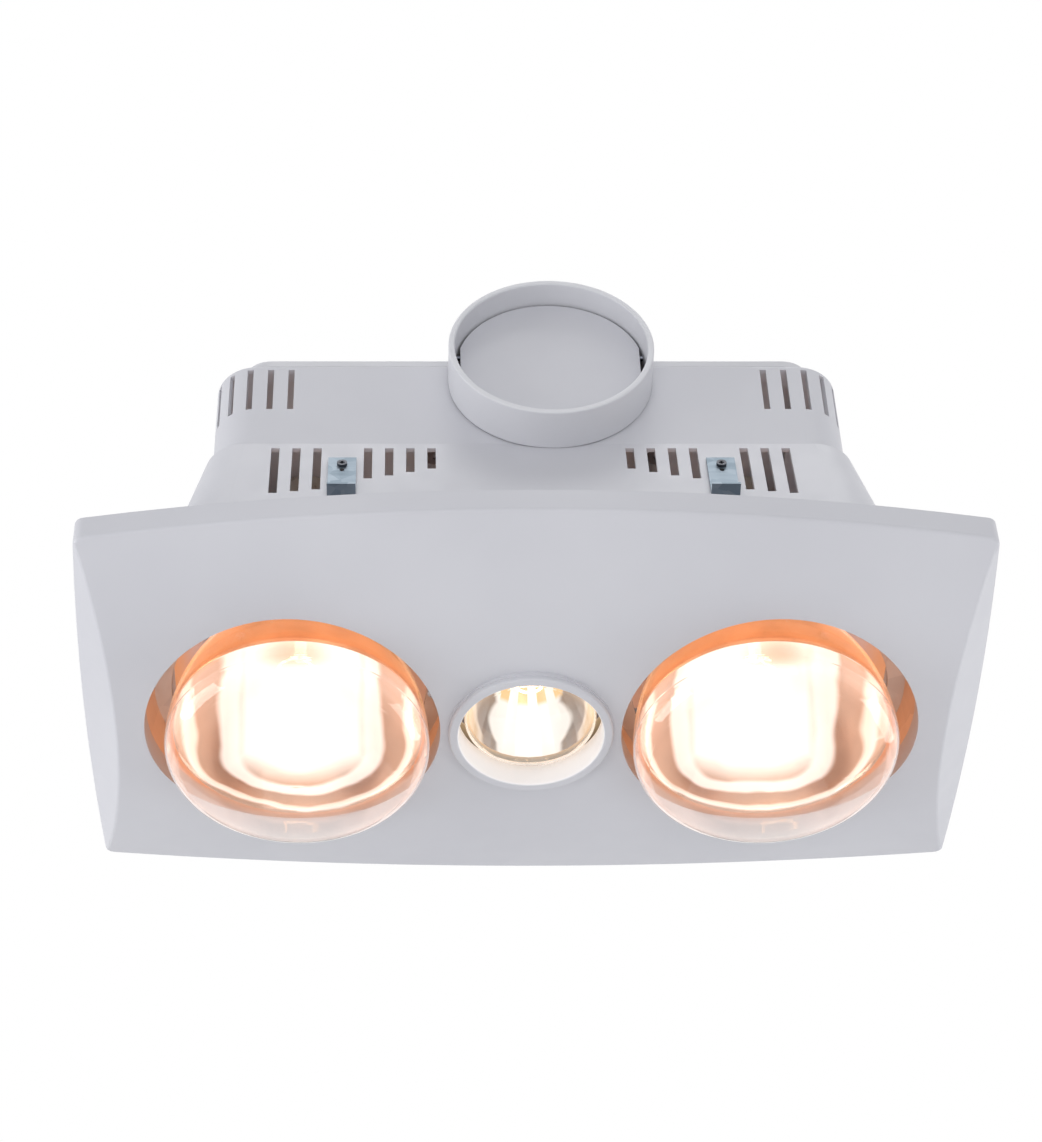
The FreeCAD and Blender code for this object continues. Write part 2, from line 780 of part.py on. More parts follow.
def make_top_lid():
    tray = rounded_slab(lid_half_length, lid_half_depth, lid_corner_radius, (housing_top, lid_top))
    edges = [edge for edge in tray.Edges if edge.BoundBox.ZMin > lid_top - lid_edge_rounding]
    tray = tray.makeFillet(lid_edge_rounding, edges)
    hollow = rounded_slab(lid_half_length - lid_sheet, lid_half_depth - lid_sheet,
                          lid_corner_radius - lid_sheet, (housing_top - cut_overrun, lid_underside))
    bosses = [upright(screw_head_radius, (housing_top, lid_underside), place) for place in lid_screw_places()]
    through = (housing_top - cut_overrun, lid_top + cut_overrun)
    cutters = [block((duct_x - lid_cutout_half_width, duct_x + lid_cutout_half_width),
                     (-lid_half_depth - cut_overrun, hood_back_y - hood_wall), through)]
    screw_places = lid_screw_places() + hood_screw_places() + holder_screw_places()
    cutters += [upright(screw_hole_radius, through, place) for place in screw_places]
    cutters.append(upright(lead_hole_radius, through, (terminal_x, lead_hole_y)))
    cutters.append(upright(screw_hole_radius, through, (terminal_x + earth_screw_offset_x, terminal_y)))
    return without(joined([tray.cut(hollow)] + bosses), cutters)


def make_lid_screws():
    return Part.makeCompound([screw(V(x, y, lid_top), V(0, 0, -1)) for x, y in lid_screw_places()])


def hood_flange_half_width():
    return hood_inner_radius() + hood_wall + hood_flange_width


def hood_screw_places():
    side = hood_flange_half_width() - hood_flange_width / 2
    rear = hood_back_y + hood_flange_width / 2
    return [(duct_x - side, hood_screw_front_y), (duct_x + side, hood_screw_front_y),
            (duct_x - side, rear), (duct_x + side, rear)]


def make_fan_hood():
    inner = hood_inner_radius()
    front = -lid_half_depth
    half_width = hood_flange_half_width()
    back = hood_back_y + hood_flange_width
    shell = crosswise(inner + hood_wall, (front, hood_back_y), duct_x, duct_height)
    flange = block((duct_x - half_width, duct_x + half_width), (hood_flange_front_y, back),
                   (lid_top, lid_top + hood_flange))
    hollow = crosswise(inner, (front - cut_overrun, hood_back_y - hood_wall), duct_x, duct_height)
    below = block((duct_x - half_width - cut_overrun, duct_x + half_width + cut_overrun),
                  (front - cut_overrun, back + cut_overrun), (0, lid_top))
    holes = [upright(screw_hole_radius, (lid_top - cut_overrun, lid_top + hood_flange + cut_overrun), place)
             for place in hood_screw_places()]
    return without(joined([shell, flange]), [hollow, below] + holes)


def make_hood_screws():
    top = lid_top + hood_flange
    return Part.makeCompound([screw(V(x, y, top), V(0, 0, -1)) for x, y in hood_screw_places()])


def make_terminal_cover():
    low, top = lid_top, lid_top + terminal_cover_height
    middle = (terminal_x, terminal_y)
    box = rounded_slab(terminal_cover_half_length, terminal_cover_half_depth, terminal_cover_corner,
                       (low, top), middle)
    edges = [edge for edge in box.Edges if edge.BoundBox.ZMin > top - terminal_cover_wall]
    box = box.makeFillet(terminal_cover_wall, edges)
    hollow = rounded_slab(terminal_cover_half_length - terminal_cover_wall,
                          terminal_cover_half_depth - terminal_cover_wall,
                          terminal_cover_corner - terminal_cover_wall,
                          (low - cut_overrun, top - terminal_cover_wall), middle)
    rear = terminal_y + terminal_cover_half_depth
    entry_y = (rear - terminal_cover_wall - cut_overrun, rear + cut_overrun)
    entry = crosswise(gland_thread_radius + seat_gap, entry_y, terminal_x, low + gland_height)
    return without(box, [hollow, entry])


def make_terminal_block():
    middle_y = terminal_y - terminal_block_setback
    top = lid_top + terminal_block_height
    body = block((terminal_x - terminal_block_half_length, terminal_x + terminal_block_half_length),
                 (middle_y - terminal_block_half_depth, middle_y + terminal_block_half_depth), (lid_top, top))
    pitch = 2 * terminal_block_half_length / terminal_well_count
    well_span = (top - terminal_well_depth, top + cut_overrun)
    wells = []
    for number in range(terminal_well_count):
        x = terminal_x - terminal_block_half_length + (number + 1 / 2) * pitch
        wells.append(upright(terminal_well_radius, well_span, (x, middle_y)))
    return without(body, wells)


def make_earth_screw():
    return screw(V(terminal_x + earth_screw_offset_x, terminal_y, lid_top), V(0, 0, -1))


def make_cable_gland():
    rear = terminal_y + terminal_cover_half_depth
    height = lid_top + gland_height
    start = rear - terminal_cover_wall - gland_inner
    thread = crosswise(gland_thread_radius, (start, rear), terminal_x, height)
    sides_of_nut = [V(terminal_x + gland_nut_radius * math.cos(step * math.pi / 3), rear,
                      height + gland_nut_radius * math.sin(step * math.pi / 3)) for step in range(6)]
    nut = Part.Face(Part.makePolygon(sides_of_nut + sides_of_nut[:1])).extrude(V(0, gland_nut, 0))
    dome = crosswise(gland_dome_radius, (rear + gland_nut, rear + gland_nut + gland_dome), terminal_x, height)
    tip = [edge for edge in dome.Edges if edge.BoundBox.YMin > rear + gland_nut + gland_dome / 2
           and edge.BoundBox.YLength < gland_dome / 2]
    dome = dome.makeFillet(gland_dome_rounding, tip)
    bore = crosswise(gland_bore_radius, (start - cut_overrun, rear + gland_nut + gland_dome + cut_overrun),
                     terminal_x, height)
    return without(joined([thread, nut, dome]), [bore])


def make_thermal_cutout():
    centre = (cutout_x, cutout_y)
    flange = upright(cutout_flange_radius, (lid_underside - cutout_flange, lid_underside), centre)
    body = upright(cutout_radius, (lid_underside - cutout_height, lid_underside - cutout_flange), centre)
    return joined([flange, body])


# Duct collar, flap and fan tunnel

def collar_ear_places():
    return [(duct_x + side * collar_ear_side, duct_height - collar_ear_drop) for side in sides.values()]


def make_duct_collar():
    span = (duct_rim_y, collar_back_y)
    shoulder = -housing_half_depth - collar_shoulder_gap
    spigot = crosswise(duct_radius, (duct_rim_y, shoulder), duct_x, duct_height)
    neck = crosswise(collar_neck_radius, (shoulder, collar_back_y), duct_x, duct_height)
    tube = joined([spigot, neck]).cut(
        crosswise(duct_bore_radius, (span[0] - cut_overrun, span[1] + cut_overrun), duct_x, duct_height))
    rim = [edge for edge in tube.Edges if edge.BoundBox.YMax < duct_rim_y + collar_rim_rounding
           and edge.BoundBox.YLength < collar_rim_rounding]
    tube = tube.makeFillet(collar_rim_rounding, rim)
    stop_front = flap_middle_y + flap_thickness / 2 + seat_gap
    stop_back = stop_front + flap_stop_depth
    stop = crosswise(duct_radius - duct_wall / 2, (stop_front, stop_back), duct_x, duct_height)
    stop = stop.cut(crosswise(duct_bore_radius - flap_stop_width,
                              (stop_front - cut_overrun, stop_back + cut_overrun), duct_x, duct_height))
    above_stop = block((duct_x - duct_radius, duct_x + duct_radius), span,
                       (duct_height - flap_stop_drop, duct_height + duct_radius))
    ears = [crosswise(ear_radius, (collar_back_y - collar_ear_length, collar_back_y), x, z)
            for x, z in collar_ear_places()]
    bore = crosswise(duct_bore_radius, (collar_back_y - ear_length, collar_back_y), duct_x, duct_height)
    ears = [ear.cut(bore) for ear in ears]
    holes = [crosswise(screw_hole_radius, (collar_back_y - ear_length, collar_back_y + cut_overrun), x, z)
             for x, z in collar_ear_places()]
    holes.append(lengthwise(flap_pin_radius + running_gap, (duct_x - flap_pin_half_length - seat_gap,
                                                            duct_x + flap_pin_half_length + seat_gap),
                            flap_pivot_y, flap_pivot_z))
    return without(joined([tube, stop.cut(above_stop)] + ears), holes)


def make_backdraft_flap():
    y_span = (flap_middle_y - flap_thickness / 2, flap_middle_y + flap_thickness / 2)
    disc = crosswise(duct_bore_radius - flap_gap, y_span, duct_x, duct_height)
    keep = block((duct_x - flap_flat_half_width, duct_x + flap_flat_half_width), y_span,
                 (duct_height - duct_radius, duct_height + duct_radius))
    hub = lengthwise(flap_hub_radius, (duct_x - flap_hub_half_length, duct_x + flap_hub_half_length),
                     flap_pivot_y, flap_pivot_z)
    hub = hub.cut(block((duct_x - duct_radius, duct_x + duct_radius), (duct_rim_y, y_span[0]),
                        (duct_height, duct_height + duct_radius)))
    bore = lengthwise(flap_pin_radius + running_gap, (duct_x - duct_radius, duct_x + duct_radius),
                      flap_pivot_y, flap_pivot_z)
    return without(joined([disc.common(keep), hub]), [bore])


def make_flap_pin():
    return lengthwise(flap_pin_radius, (duct_x - flap_pin_half_length, duct_x + flap_pin_half_length),
                      flap_pivot_y, flap_pivot_z)


def strap_ear_places():
    return [duct_x + side * strap_ear_offset for side in sides.values()]


def make_fan_tunnel():
    span = (collar_back_y, tunnel_back_y)
    tube = crosswise(collar_neck_radius, span, duct_x, duct_height)
    front_ears = (collar_back_y, collar_back_y + ear_length)
    back_ears = (tunnel_back_y - ear_length, tunnel_back_y)
    ears = [crosswise(ear_radius, front_ears, x, z) for x, z in collar_ear_places()]
    ears += [crosswise(ear_radius, back_ears, x, duct_height) for x in strap_ear_places()]
    webs = [block(sorted((duct_x + side * (duct_bore_radius + seat_gap), duct_x + side * strap_ear_offset)),
                  back_ears, (duct_height - ear_radius / 2, duct_height + ear_radius / 2))
            for side in sides.values()]
    bore = crosswise(duct_bore_radius, (collar_back_y - cut_overrun, tunnel_back_y + cut_overrun), duct_x,
                     duct_height)
    thread_radius = screw_radius + press_gap
    front_holes = (front_ears[0] - cut_overrun, front_ears[1] + cut_overrun)
    back_holes = (back_ears[0] - cut_overrun, back_ears[1] + cut_overrun)
    holes = [crosswise(thread_radius, front_holes, x, z) for x, z in collar_ear_places()]
    holes += [crosswise(thread_radius, back_holes, x, duct_height) for x in strap_ear_places()]
    return without(joined([tube] + ears + webs), [bore] + holes)


# Fan and motor, on one shaft along Y

def make_fan_impeller():
    span = (fan_front_y, fan_back_y)
    middle = (span[0] + span[1]) / 2
    hub = crosswise(fan_hub_radius, span, 0, 0).cut(
        crosswise(fan_hub_radius - fan_hub_wall, (span[0] + fan_hub_wall, span[1] + cut_overrun), 0, 0))
    boss = crosswise(fan_boss_radius, span, 0, 0)
    tip_radius = duct_bore_radius - fan_tip_gap
    tip = crosswise(tip_radius, span, 0, 0).cut(crosswise(fan_hub_radius - fan_hub_wall / 2, span, 0, 0))
    blades = []
    for number in range(fan_blade_count):
        blade = block((0, duct_radius), (middle - fan_blade_chord / 2, middle + fan_blade_chord / 2),
                      (-fan_blade_thickness / 2, fan_blade_thickness / 2))
        blade = turned(blade, V(0, middle, 0), V(1, 0, 0), fan_blade_pitch_degrees)
        blade = turned(blade, V(0, 0, 0), V(0, 1, 0), number * 360 / fan_blade_count)
        blades.append(blade.common(tip))
    bore = crosswise(shaft_radius + press_gap, (span[0] - cut_overrun, span[1] + cut_overrun), 0, 0)
    return moved(without(joined([hub, boss] + blades), [bore]), duct_x, 0, duct_height)


def make_motor_shaft():
    return crosswise(shaft_radius, (shaft_front_y, shaft_back_y), duct_x, duct_height)


def make_motor_rotor():
    span = (stator_front_y + rotor_end_gap, stator_back_y - rotor_end_gap)
    rotor = crosswise(stator_bore_radius - rotor_gap, span, duct_x, duct_height)
    through = (span[0] - cut_overrun, span[1] + cut_overrun)
    return rotor.cut(crosswise(shaft_radius + press_gap, through, duct_x, duct_height))


def motor_screw_heights():
    return [duct_height - motor_screw_rise, duct_height + motor_screw_rise]


def motor_screw_holes(y_span):
    reach = (y_span[0] - cut_overrun, y_span[1] + cut_overrun)
    return [crosswise(motor_screw_hole_radius, reach, duct_x, height) for height in motor_screw_heights()]


def make_motor_stator():
    span = (stator_front_y, stator_back_y)
    stack = block((duct_x - stator_left, duct_x + stator_right), span,
                  (duct_height - stator_half_height, duct_height + stator_half_height))
    corners = [edge for edge in stack.Edges if edge.BoundBox.YLength > stator_length / 2]
    stack = stack.makeFillet(stator_corner, corners)
    through = (span[0] - cut_overrun, span[1] + cut_overrun)
    bore = crosswise(stator_bore_radius, through, duct_x, duct_height)
    window = block((duct_x + stator_window_near, duct_x + stator_window_far), through,
                   (duct_height - stator_window_half_height, duct_height + stator_window_half_height))
    return without(stack, [bore, window] + motor_screw_holes(span))


def make_motor_coil():
    half_height = stator_window_half_height - seat_gap
    leg = (duct_x + stator_window_far, duct_x + stator_right)
    z_span = (duct_height - half_height, duct_height + half_height)
    coil = block((leg[0] - coil_build, leg[1] + coil_build),
                 (stator_front_y - coil_build, stator_back_y + coil_build), z_span)
    corners = [edge for edge in coil.Edges if edge.BoundBox.ZLength > half_height]
    coil = coil.makeFillet(coil_rounding, corners)
    core = block((leg[0] - seat_gap, leg[1] + seat_gap),
                 (stator_front_y - seat_gap, stator_back_y + seat_gap),
                 (z_span[0] - cut_overrun, z_span[1] + cut_overrun))
    return coil.cut(core)


def bearing_bracket(bar_span, pillar_span, boss_span):
    half_height = stator_half_height
    bar = block((duct_x - bracket_half_width, duct_x + bracket_half_width), bar_span,
                (duct_height - half_height, duct_height + half_height))
    pillars = [crosswise(pillar_radius, pillar_span, duct_x, height) for height in motor_screw_heights()]
    boss = crosswise(bracket_boss_radius, boss_span, duct_x, duct_height)
    seat_span = (boss_span[0] - cut_overrun, boss_span[1] + cut_overrun)
    seat = crosswise(bearing_radius + press_gap, seat_span, duct_x, duct_height)
    whole = (min(bar_span[0], pillar_span[0]), max(bar_span[1], pillar_span[1]))
    return without(joined([bar, boss] + pillars), [seat] + motor_screw_holes(whole))


def bearing_spans():
    front = (strap_back_y, strap_back_y + bracket_boss_length)
    return front, (motor_rear_y - bracket_boss_length, motor_rear_y)


def make_motor_front_bracket():
    bar = (strap_back_y, strap_back_y + bracket_thickness)
    return bearing_bracket(bar, (bar[1], stator_front_y), bearing_spans()[0])


def make_motor_rear_bracket():
    bar = (stator_back_y + rear_pillar, stator_back_y + rear_pillar + bracket_thickness)
    return bearing_bracket(bar, (stator_back_y, bar[0]), bearing_spans()[1])


def bearing(span):
    outer = crosswise(bearing_radius, span, duct_x, duct_height)
    through = (span[0] - cut_overrun, span[1] + cut_overrun)
    return outer.cut(crosswise(shaft_radius + running_gap, through, duct_x, duct_height))


def make_motor_bearings():
    return Part.makeCompound([bearing(span) for span in bearing_spans()])


def make_motor_strap():
    span = (strap_front_y, strap_back_y)
    reach = strap_ear_offset + ear_radius
    bar = block((duct_x - reach, duct_x + reach), span,
                (duct_height - strap_half_height, duct_height + strap_half_height))
    pad = block((duct_x - strap_pad_half_width, duct_x + strap_pad_half_width), span,
                (duct_height - strap_pad_half_height, duct_height + strap_pad_half_height))
    through = (span[0] - cut_overrun, span[1] + cut_overrun)
    holes = [crosswise(bracket_boss_radius, through, duct_x, duct_height)]
    holes += [crosswise(screw_hole_radius, through, x, duct_height) for x in strap_ear_places()]
    return without(joined([bar, pad]), holes + motor_screw_holes(span))


def make_tunnel_screws():
    start = collar_back_y - collar_ear_length
    screws = [screw(V(x, start, z), V(0, 1, 0)) for x, z in collar_ear_places()]
    screws += [screw(V(x, strap_back_y, duct_height), V(0, -1, 0)) for x in strap_ear_places()]
    return Part.makeCompound(screws)


def make_motor_screws():
    length = motor_rear_y - strap_front_y
    sizes = (length, motor_screw_radius, motor_screw_head_radius, motor_screw_head)
    return Part.makeCompound([screw(V(duct_x, motor_rear_y, height), V(0, -1, 0), *sizes)
                              for height in motor_screw_heights()])


# Base plate and heat shields

def shield_screw_places():
    places = []
    for side in sides.values():
        for number in range(shield_screw_count):
            angle = number * 2 * math.pi / shield_screw_count
            places.append((side * (lamp_offset - shield_screw_radius * math.cos(angle)),
                           shield_screw_radius * math.sin(angle)))
    return places


def make_base_plate():
    plate = rounded_slab(plate_half_length, plate_half_depth, plate_corner_radius, (plate_low, plate_top))
    through = (plate_low - cut_overrun, plate_top + cut_overrun)
    holes = [upright(plate_light_hole_radius, through)]
    holes += [upright(plate_lamp_hole_radius, through, (side * lamp_offset, 0)) for side in sides.values()]
    screw_places = plate_screw_places() + shield_screw_places()
    holes += [upright(screw_hole_radius, through, place) for place in screw_places]
    for x, y in post_places():
        half_width = post_width / 2 + post_slot_gap
        half_depth = post_thickness / 2 + post_slot_gap
        holes.append(block((x - half_width, x + half_width), (y - half_depth, y + half_depth), through))
    return without(plate, holes)


def make_plate_screws():
    return Part.makeCompound([screw(V(x, y, plate_low), V(0, 0, 1)) for x, y in plate_screw_places()])


def make_heat_shield(side):
    mouth = lamp_upstand_top + shield_mouth_gap
    flange_low = plate_low - shield_sheet
    ring = spun([(plate_lamp_hole_radius, plate_low), (plate_lamp_hole_radius, flange_low),
                 (shield_flange_radius - shield_sheet, flange_low),
                 (shield_mouth_radius - shield_sheet, mouth), (shield_mouth_radius, mouth),
                 (shield_flange_radius, plate_low)], (side * lamp_offset, 0))
    holes = [upright(screw_hole_radius, (mouth, plate_low + cut_overrun), place)
             for place in shield_screw_places() if place[0] * side > 0]
    return without(ring, holes)


def make_shield_screws():
    start = plate_low - shield_sheet
    return Part.makeCompound([screw(V(x, y, start), V(0, 0, 1)) for x, y in shield_screw_places()])


# Reflector lamps: blown glass, screw cap, stem and filament

heat_lamp_sizes = {
    "radius": heat_lamp_radius, "widest": heat_lamp_widest_z,
    "dome": heat_lamp_dome, "rim": heat_lamp_rim,
    "belly": (heat_lamp_belly_radius, heat_lamp_belly_z),
    "shoulder": (heat_lamp_shoulder_radius, heat_lamp_shoulder_z),
    "waist": (heat_lamp_waist_radius, heat_lamp_waist_z),
    "bend": (heat_lamp_neck_bend_radius, heat_lamp_neck_bend_z),
    "neck": (heat_lamp_neck_radius, heat_lamp_neck_z), "cap": heat_lamp_cap_z,
    "stem_end": heat_stem_end_z, "filament": heat_filament_radius}
light_lamp_sizes = {
    "radius": light_lamp_radius, "widest": light_lamp_widest_z,
    "dome": light_lamp_dome, "rim": light_lamp_rim,
    "belly": (light_lamp_belly_radius, light_lamp_belly_z),
    "shoulder": (light_lamp_shoulder_radius, light_lamp_shoulder_z),
    "waist": (light_lamp_waist_radius, light_lamp_waist_z),
    "bend": (light_lamp_neck_bend_radius, light_lamp_neck_bend_z),
    "neck": (light_lamp_neck_radius, light_lamp_neck_z), "cap": light_lamp_cap_z,
    "stem_end": light_stem_end_z, "filament": light_filament_radius}


def lamp_outline(lamp, inset):
    def at(place):
        return V(place[0] - inset, 0, place[1])

    # The dome is a crown arc about the axis that runs into a tighter rim arc.
    rim_radius, dome = lamp["rim"] - inset, lamp["dome"] - inset
    rim_centre = V(lamp["radius"] - lamp["rim"], 0, lamp["widest"])
    drop = lamp["dome"] - lamp["rim"]
    rise = (rim_centre.x ** 2 - drop ** 2) / (2 * drop)
    crown_centre = V(0, 0, lamp["widest"] + rise)
    outward = (rim_centre - crown_centre).normalize()
    apex = crown_centre + V(0, 0, -1) * (rise + dome)
    meeting = crown_centre + outward * (rise + dome)
    crown_middle = crown_centre + (outward + V(0, 0, -1)).normalize() * (rise + dome)
    widest = rim_centre + V(1, 0, 0) * rim_radius
    rim_middle = rim_centre + (outward + V(1, 0, 0)).normalize() * rim_radius
    collar_radius = cap_radius - cap_wall - seat_gap - inset
    end = V(collar_radius, 0, lamp["cap"] + cap_overlap)
    entry = V(collar_radius, 0, lamp["cap"])
    return apex, [arc(apex, crown_middle, meeting), arc(meeting, rim_middle, widest),
                  arc(widest, at(lamp["belly"]), at(lamp["shoulder"])),
                  line(at(lamp["shoulder"]), at(lamp["waist"])),
                  arc(at(lamp["waist"]), at(lamp["bend"]), at(lamp["neck"])), line(at(lamp["neck"]), entry),
                  line(entry, end)], end


def make_lamp_glass(lamp, x):
    outer_apex, outer, outer_end = lamp_outline(lamp, 0)
    inner_apex, inner, inner_end = lamp_outline(lamp, glass_wall)
    edges = outer + [line(outer_end, inner_end)] + inner[::-1] + [line(inner_apex, outer_apex)]
    return spun_edges(edges, (x, 0))


def make_lamp_cap(lamp, x):
    low = lamp["cap"] + seat_gap
    top = lamp["cap"] + cap_length
    tip = top + cap_cone
    return spun([(cap_radius - cap_wall, low), (cap_radius, low), (cap_radius, top),
                 (cap_contact_radius, tip), (cap_contact_radius, tip + cap_contact), (0, tip + cap_contact),
                 (0, top), (cap_radius - cap_wall, top)], (x, 0))


def make_lamp_stem(lamp, x):
    neck_radius, neck_z = lamp["neck"]
    disc_radius = neck_radius - glass_wall - seat_gap
    return joined([upright(disc_radius, (neck_z - stem_disc, neck_z), (x, 0)),
                   upright(stem_radius, (lamp["stem_end"], neck_z), (x, 0))])


def make_lamp_filament(lamp, x):
    level = lamp["stem_end"] - filament_drop
    ring = Part.makeTorus(lamp["filament"], filament_wire, V(0, 0, level), V(0, 0, 1), -180, 180,
                          filament_sweep_degrees)
    wires = [ring]
    for degrees in (0, filament_sweep_degrees):
        angle = math.radians(degrees)
        foot = V(lamp["filament"] * math.cos(angle), lamp["filament"] * math.sin(angle), level)
        head = V(0, 0, lamp["stem_end"])
        head += V(foot.x, foot.y, 0).normalize() * (stem_radius / 2)
        run = head - foot
        wires.append(Part.makeCylinder(filament_wire, run.Length, foot, run))
        wires.append(Part.makeSphere(filament_wire, foot))
    stem = upright(stem_radius, (lamp["stem_end"], lamp["neck"][1]))
    return moved(joined(wires).cut(stem), x)


# Lampholders

def holder_seats():
    return {"left": (-lamp_offset, heat_lamp_sizes, lid_underside),
            "right": (lamp_offset, heat_lamp_sizes, lid_underside),
            "centre": (0, light_lamp_sizes, light_holder_top)}


def holder_screw_places():
    heat = [(side * lamp_offset, sign * holder_ear_offset) for side in sides.values() for sign in (-1, 1)]
    return heat + [(0, light_bracket_back_y + light_bracket_tab / 2)]


def make_lampholder(name):
    x, lamp, top = holder_seats()[name]
    bore_radius = cap_radius + holder_bore_gap
    low = lamp["cap"] + holder_lift
    bore_top = lamp["cap"] + cap_tip_rise + holder_contact_gap
    shoulder = bore_top + holder_roof / 2
    body = spun([(bore_radius, low), (holder_radius, low), (holder_radius, shoulder),
                 (holder_base_radius, shoulder), (holder_base_radius, top), (0, top), (0, bore_top),
                 (bore_radius, bore_top)], (x, 0))
    thread_span = (top - screw_length, top + cut_overrun)
    threads = [upright(screw_radius + press_gap, thread_span, (x, sign * holder_ear_offset))
               for sign in (-1, 1)]
    return without(body, threads)


def make_light_bracket():
    low = light_holder_top
    sheet = light_bracket_sheet
    half = light_bracket_half_width
    shelf = block((-half, half), (-holder_base_radius, light_bracket_back_y), (low, low + sheet))
    riser = block((-half, half), (light_bracket_back_y - sheet, light_bracket_back_y), (low, lid_underside))
    tab = block((-half, half), (light_bracket_back_y - sheet, light_bracket_back_y + light_bracket_tab),
                (lid_underside - sheet, lid_underside))
    shelf_holes = (low - cut_overrun, low + sheet + cut_overrun)
    tab_hole = (lid_underside - sheet - cut_overrun, lid_underside + cut_overrun)
    holes = [upright(screw_hole_radius, shelf_holes, (0, sign * holder_ear_offset)) for sign in (-1, 1)]
    holes.append(upright(screw_radius + press_gap, tab_hole,
                         (0, light_bracket_back_y + light_bracket_tab / 2)))
    return without(joined([shelf, riser, tab]), holes)


def make_holder_screws():
    screws = [screw(V(x, y, lid_top), V(0, 0, -1)) for x, y in holder_screw_places()]
    start = light_holder_top + light_bracket_sheet
    screws += [screw(V(0, sign * holder_ear_offset, start), V(0, 0, -1)) for sign in (-1, 1)]
    return Part.makeCompound(screws)


# Ceiling clamps on the skirt

def make_clamp_bracket(x, rear):
    span = (along_skirt(clamp_foot_z), along_skirt(clamp_foot_z + clamp_height))
    back = -seat_gap
    plate = block((-clamp_half_width, clamp_half_width), (back - clamp_sheet, back), span)
    foot = block((-clamp_half_width, clamp_half_width), (back - clamp_sheet - clamp_foot, back),
                 (span[0], span[0] + clamp_sheet))
    through = (back - clamp_sheet - cut_overrun, back + cut_overrun)
    screw_z = along_skirt(clamp_screw_z)
    holes = [crosswise(clamp_screw_radius + press_gap, through, 0, screw_z),
             crosswise(clamp_tab_hole_radius, through, 0, screw_z - clamp_tab_hole_drop)]
    return on_skirt(without(joined([plate, foot]), holes), x, rear)


def make_clamp_screw(x, rear):
    screw_z = along_skirt(clamp_screw_z)
    head_face = -seat_gap - clamp_sheet
    nut_face = housing_wall * math.cos(skirt_tilt) + seat_gap
    bolt = screw(V(0, head_face, screw_z), V(0, 1, 0), nut_face + clamp_nut - head_face,
                 clamp_screw_radius, clamp_screw_head_radius, clamp_screw_head)
    nut_back = nut_face + clamp_nut
    nut = block((-clamp_nut_half_width, clamp_nut_half_width), (nut_face, nut_back),
                (screw_z - clamp_nut_half_width, screw_z + clamp_nut_half_width))
    nut = nut.cut(crosswise(clamp_screw_radius + press_gap, (nut_face - cut_overrun, nut_back + cut_overrun),
                            0, screw_z))
    return Part.makeCompound([on_skirt(bolt, x, rear), on_skirt(nut, x, rear)])


# Leads inside the housing: straight runs joined by tangent arcs

def lead(points):
    edges = []
    start = points[0]
    for before, corner, after in zip(points, points[1:], points[2:]):
        back = (before - corner).normalize()
        onward = (after - corner).normalize()
        half_turn = (math.pi - back.getAngle(onward)) / 2
        setback = lead_bend_radius * math.tan(half_turn)
        bisector = (back + onward).normalize()
        middle = corner + bisector * (lead_bend_radius / math.cos(half_turn) - lead_bend_radius)
        first, last = corner + back * setback, corner + onward * setback
        edges += [line(start, first), arc(first, middle, last)]
        start = last
    edges.append(line(start, points[-1]))
    path = Part.Wire(edges)
    section = Part.Wire([Part.Circle(points[0], points[1] - points[0], lead_radius).toShape()])
    return path.makePipeShell([section], True, True)


def make_internal_leads():
    reach = holder_radius
    coil_side = duct_x + stator_right + coil_build
    coil_middle = (stator_front_y + stator_back_y) / 2
    block_rear = terminal_y - terminal_block_setback + terminal_block_half_depth
    step = 2 * lead_radius + seat_gap
    light_lane = terminal_x + step / 2
    endings = (
        (lead_level, ((-lamp_offset, lead_hole_y), (-lamp_offset, reach))),
        (light_lead_level, ((light_lane, 0), (-reach, 0))),
        (coil_lead_level, ((coil_lead_lane, lead_hole_y), (coil_lead_lane, coil_middle),
                           (coil_side, coil_middle))),
        (far_lead_level, ((lamp_offset, lead_hole_y), (lamp_offset, reach))))
    lanes = (-3, 1, 3, -1)
    leads = []
    for lane, (level, stops) in zip(lanes, endings):
        x = terminal_x + lane * step / 2
        start = [V(x, block_rear, lead_start), V(x, lead_hole_y, lead_start), V(x, lead_hole_y, level)]
        leads.append(lead(start + [V(stop[0], stop[1], level) for stop in stops]))
    return Part.makeCompound(leads)


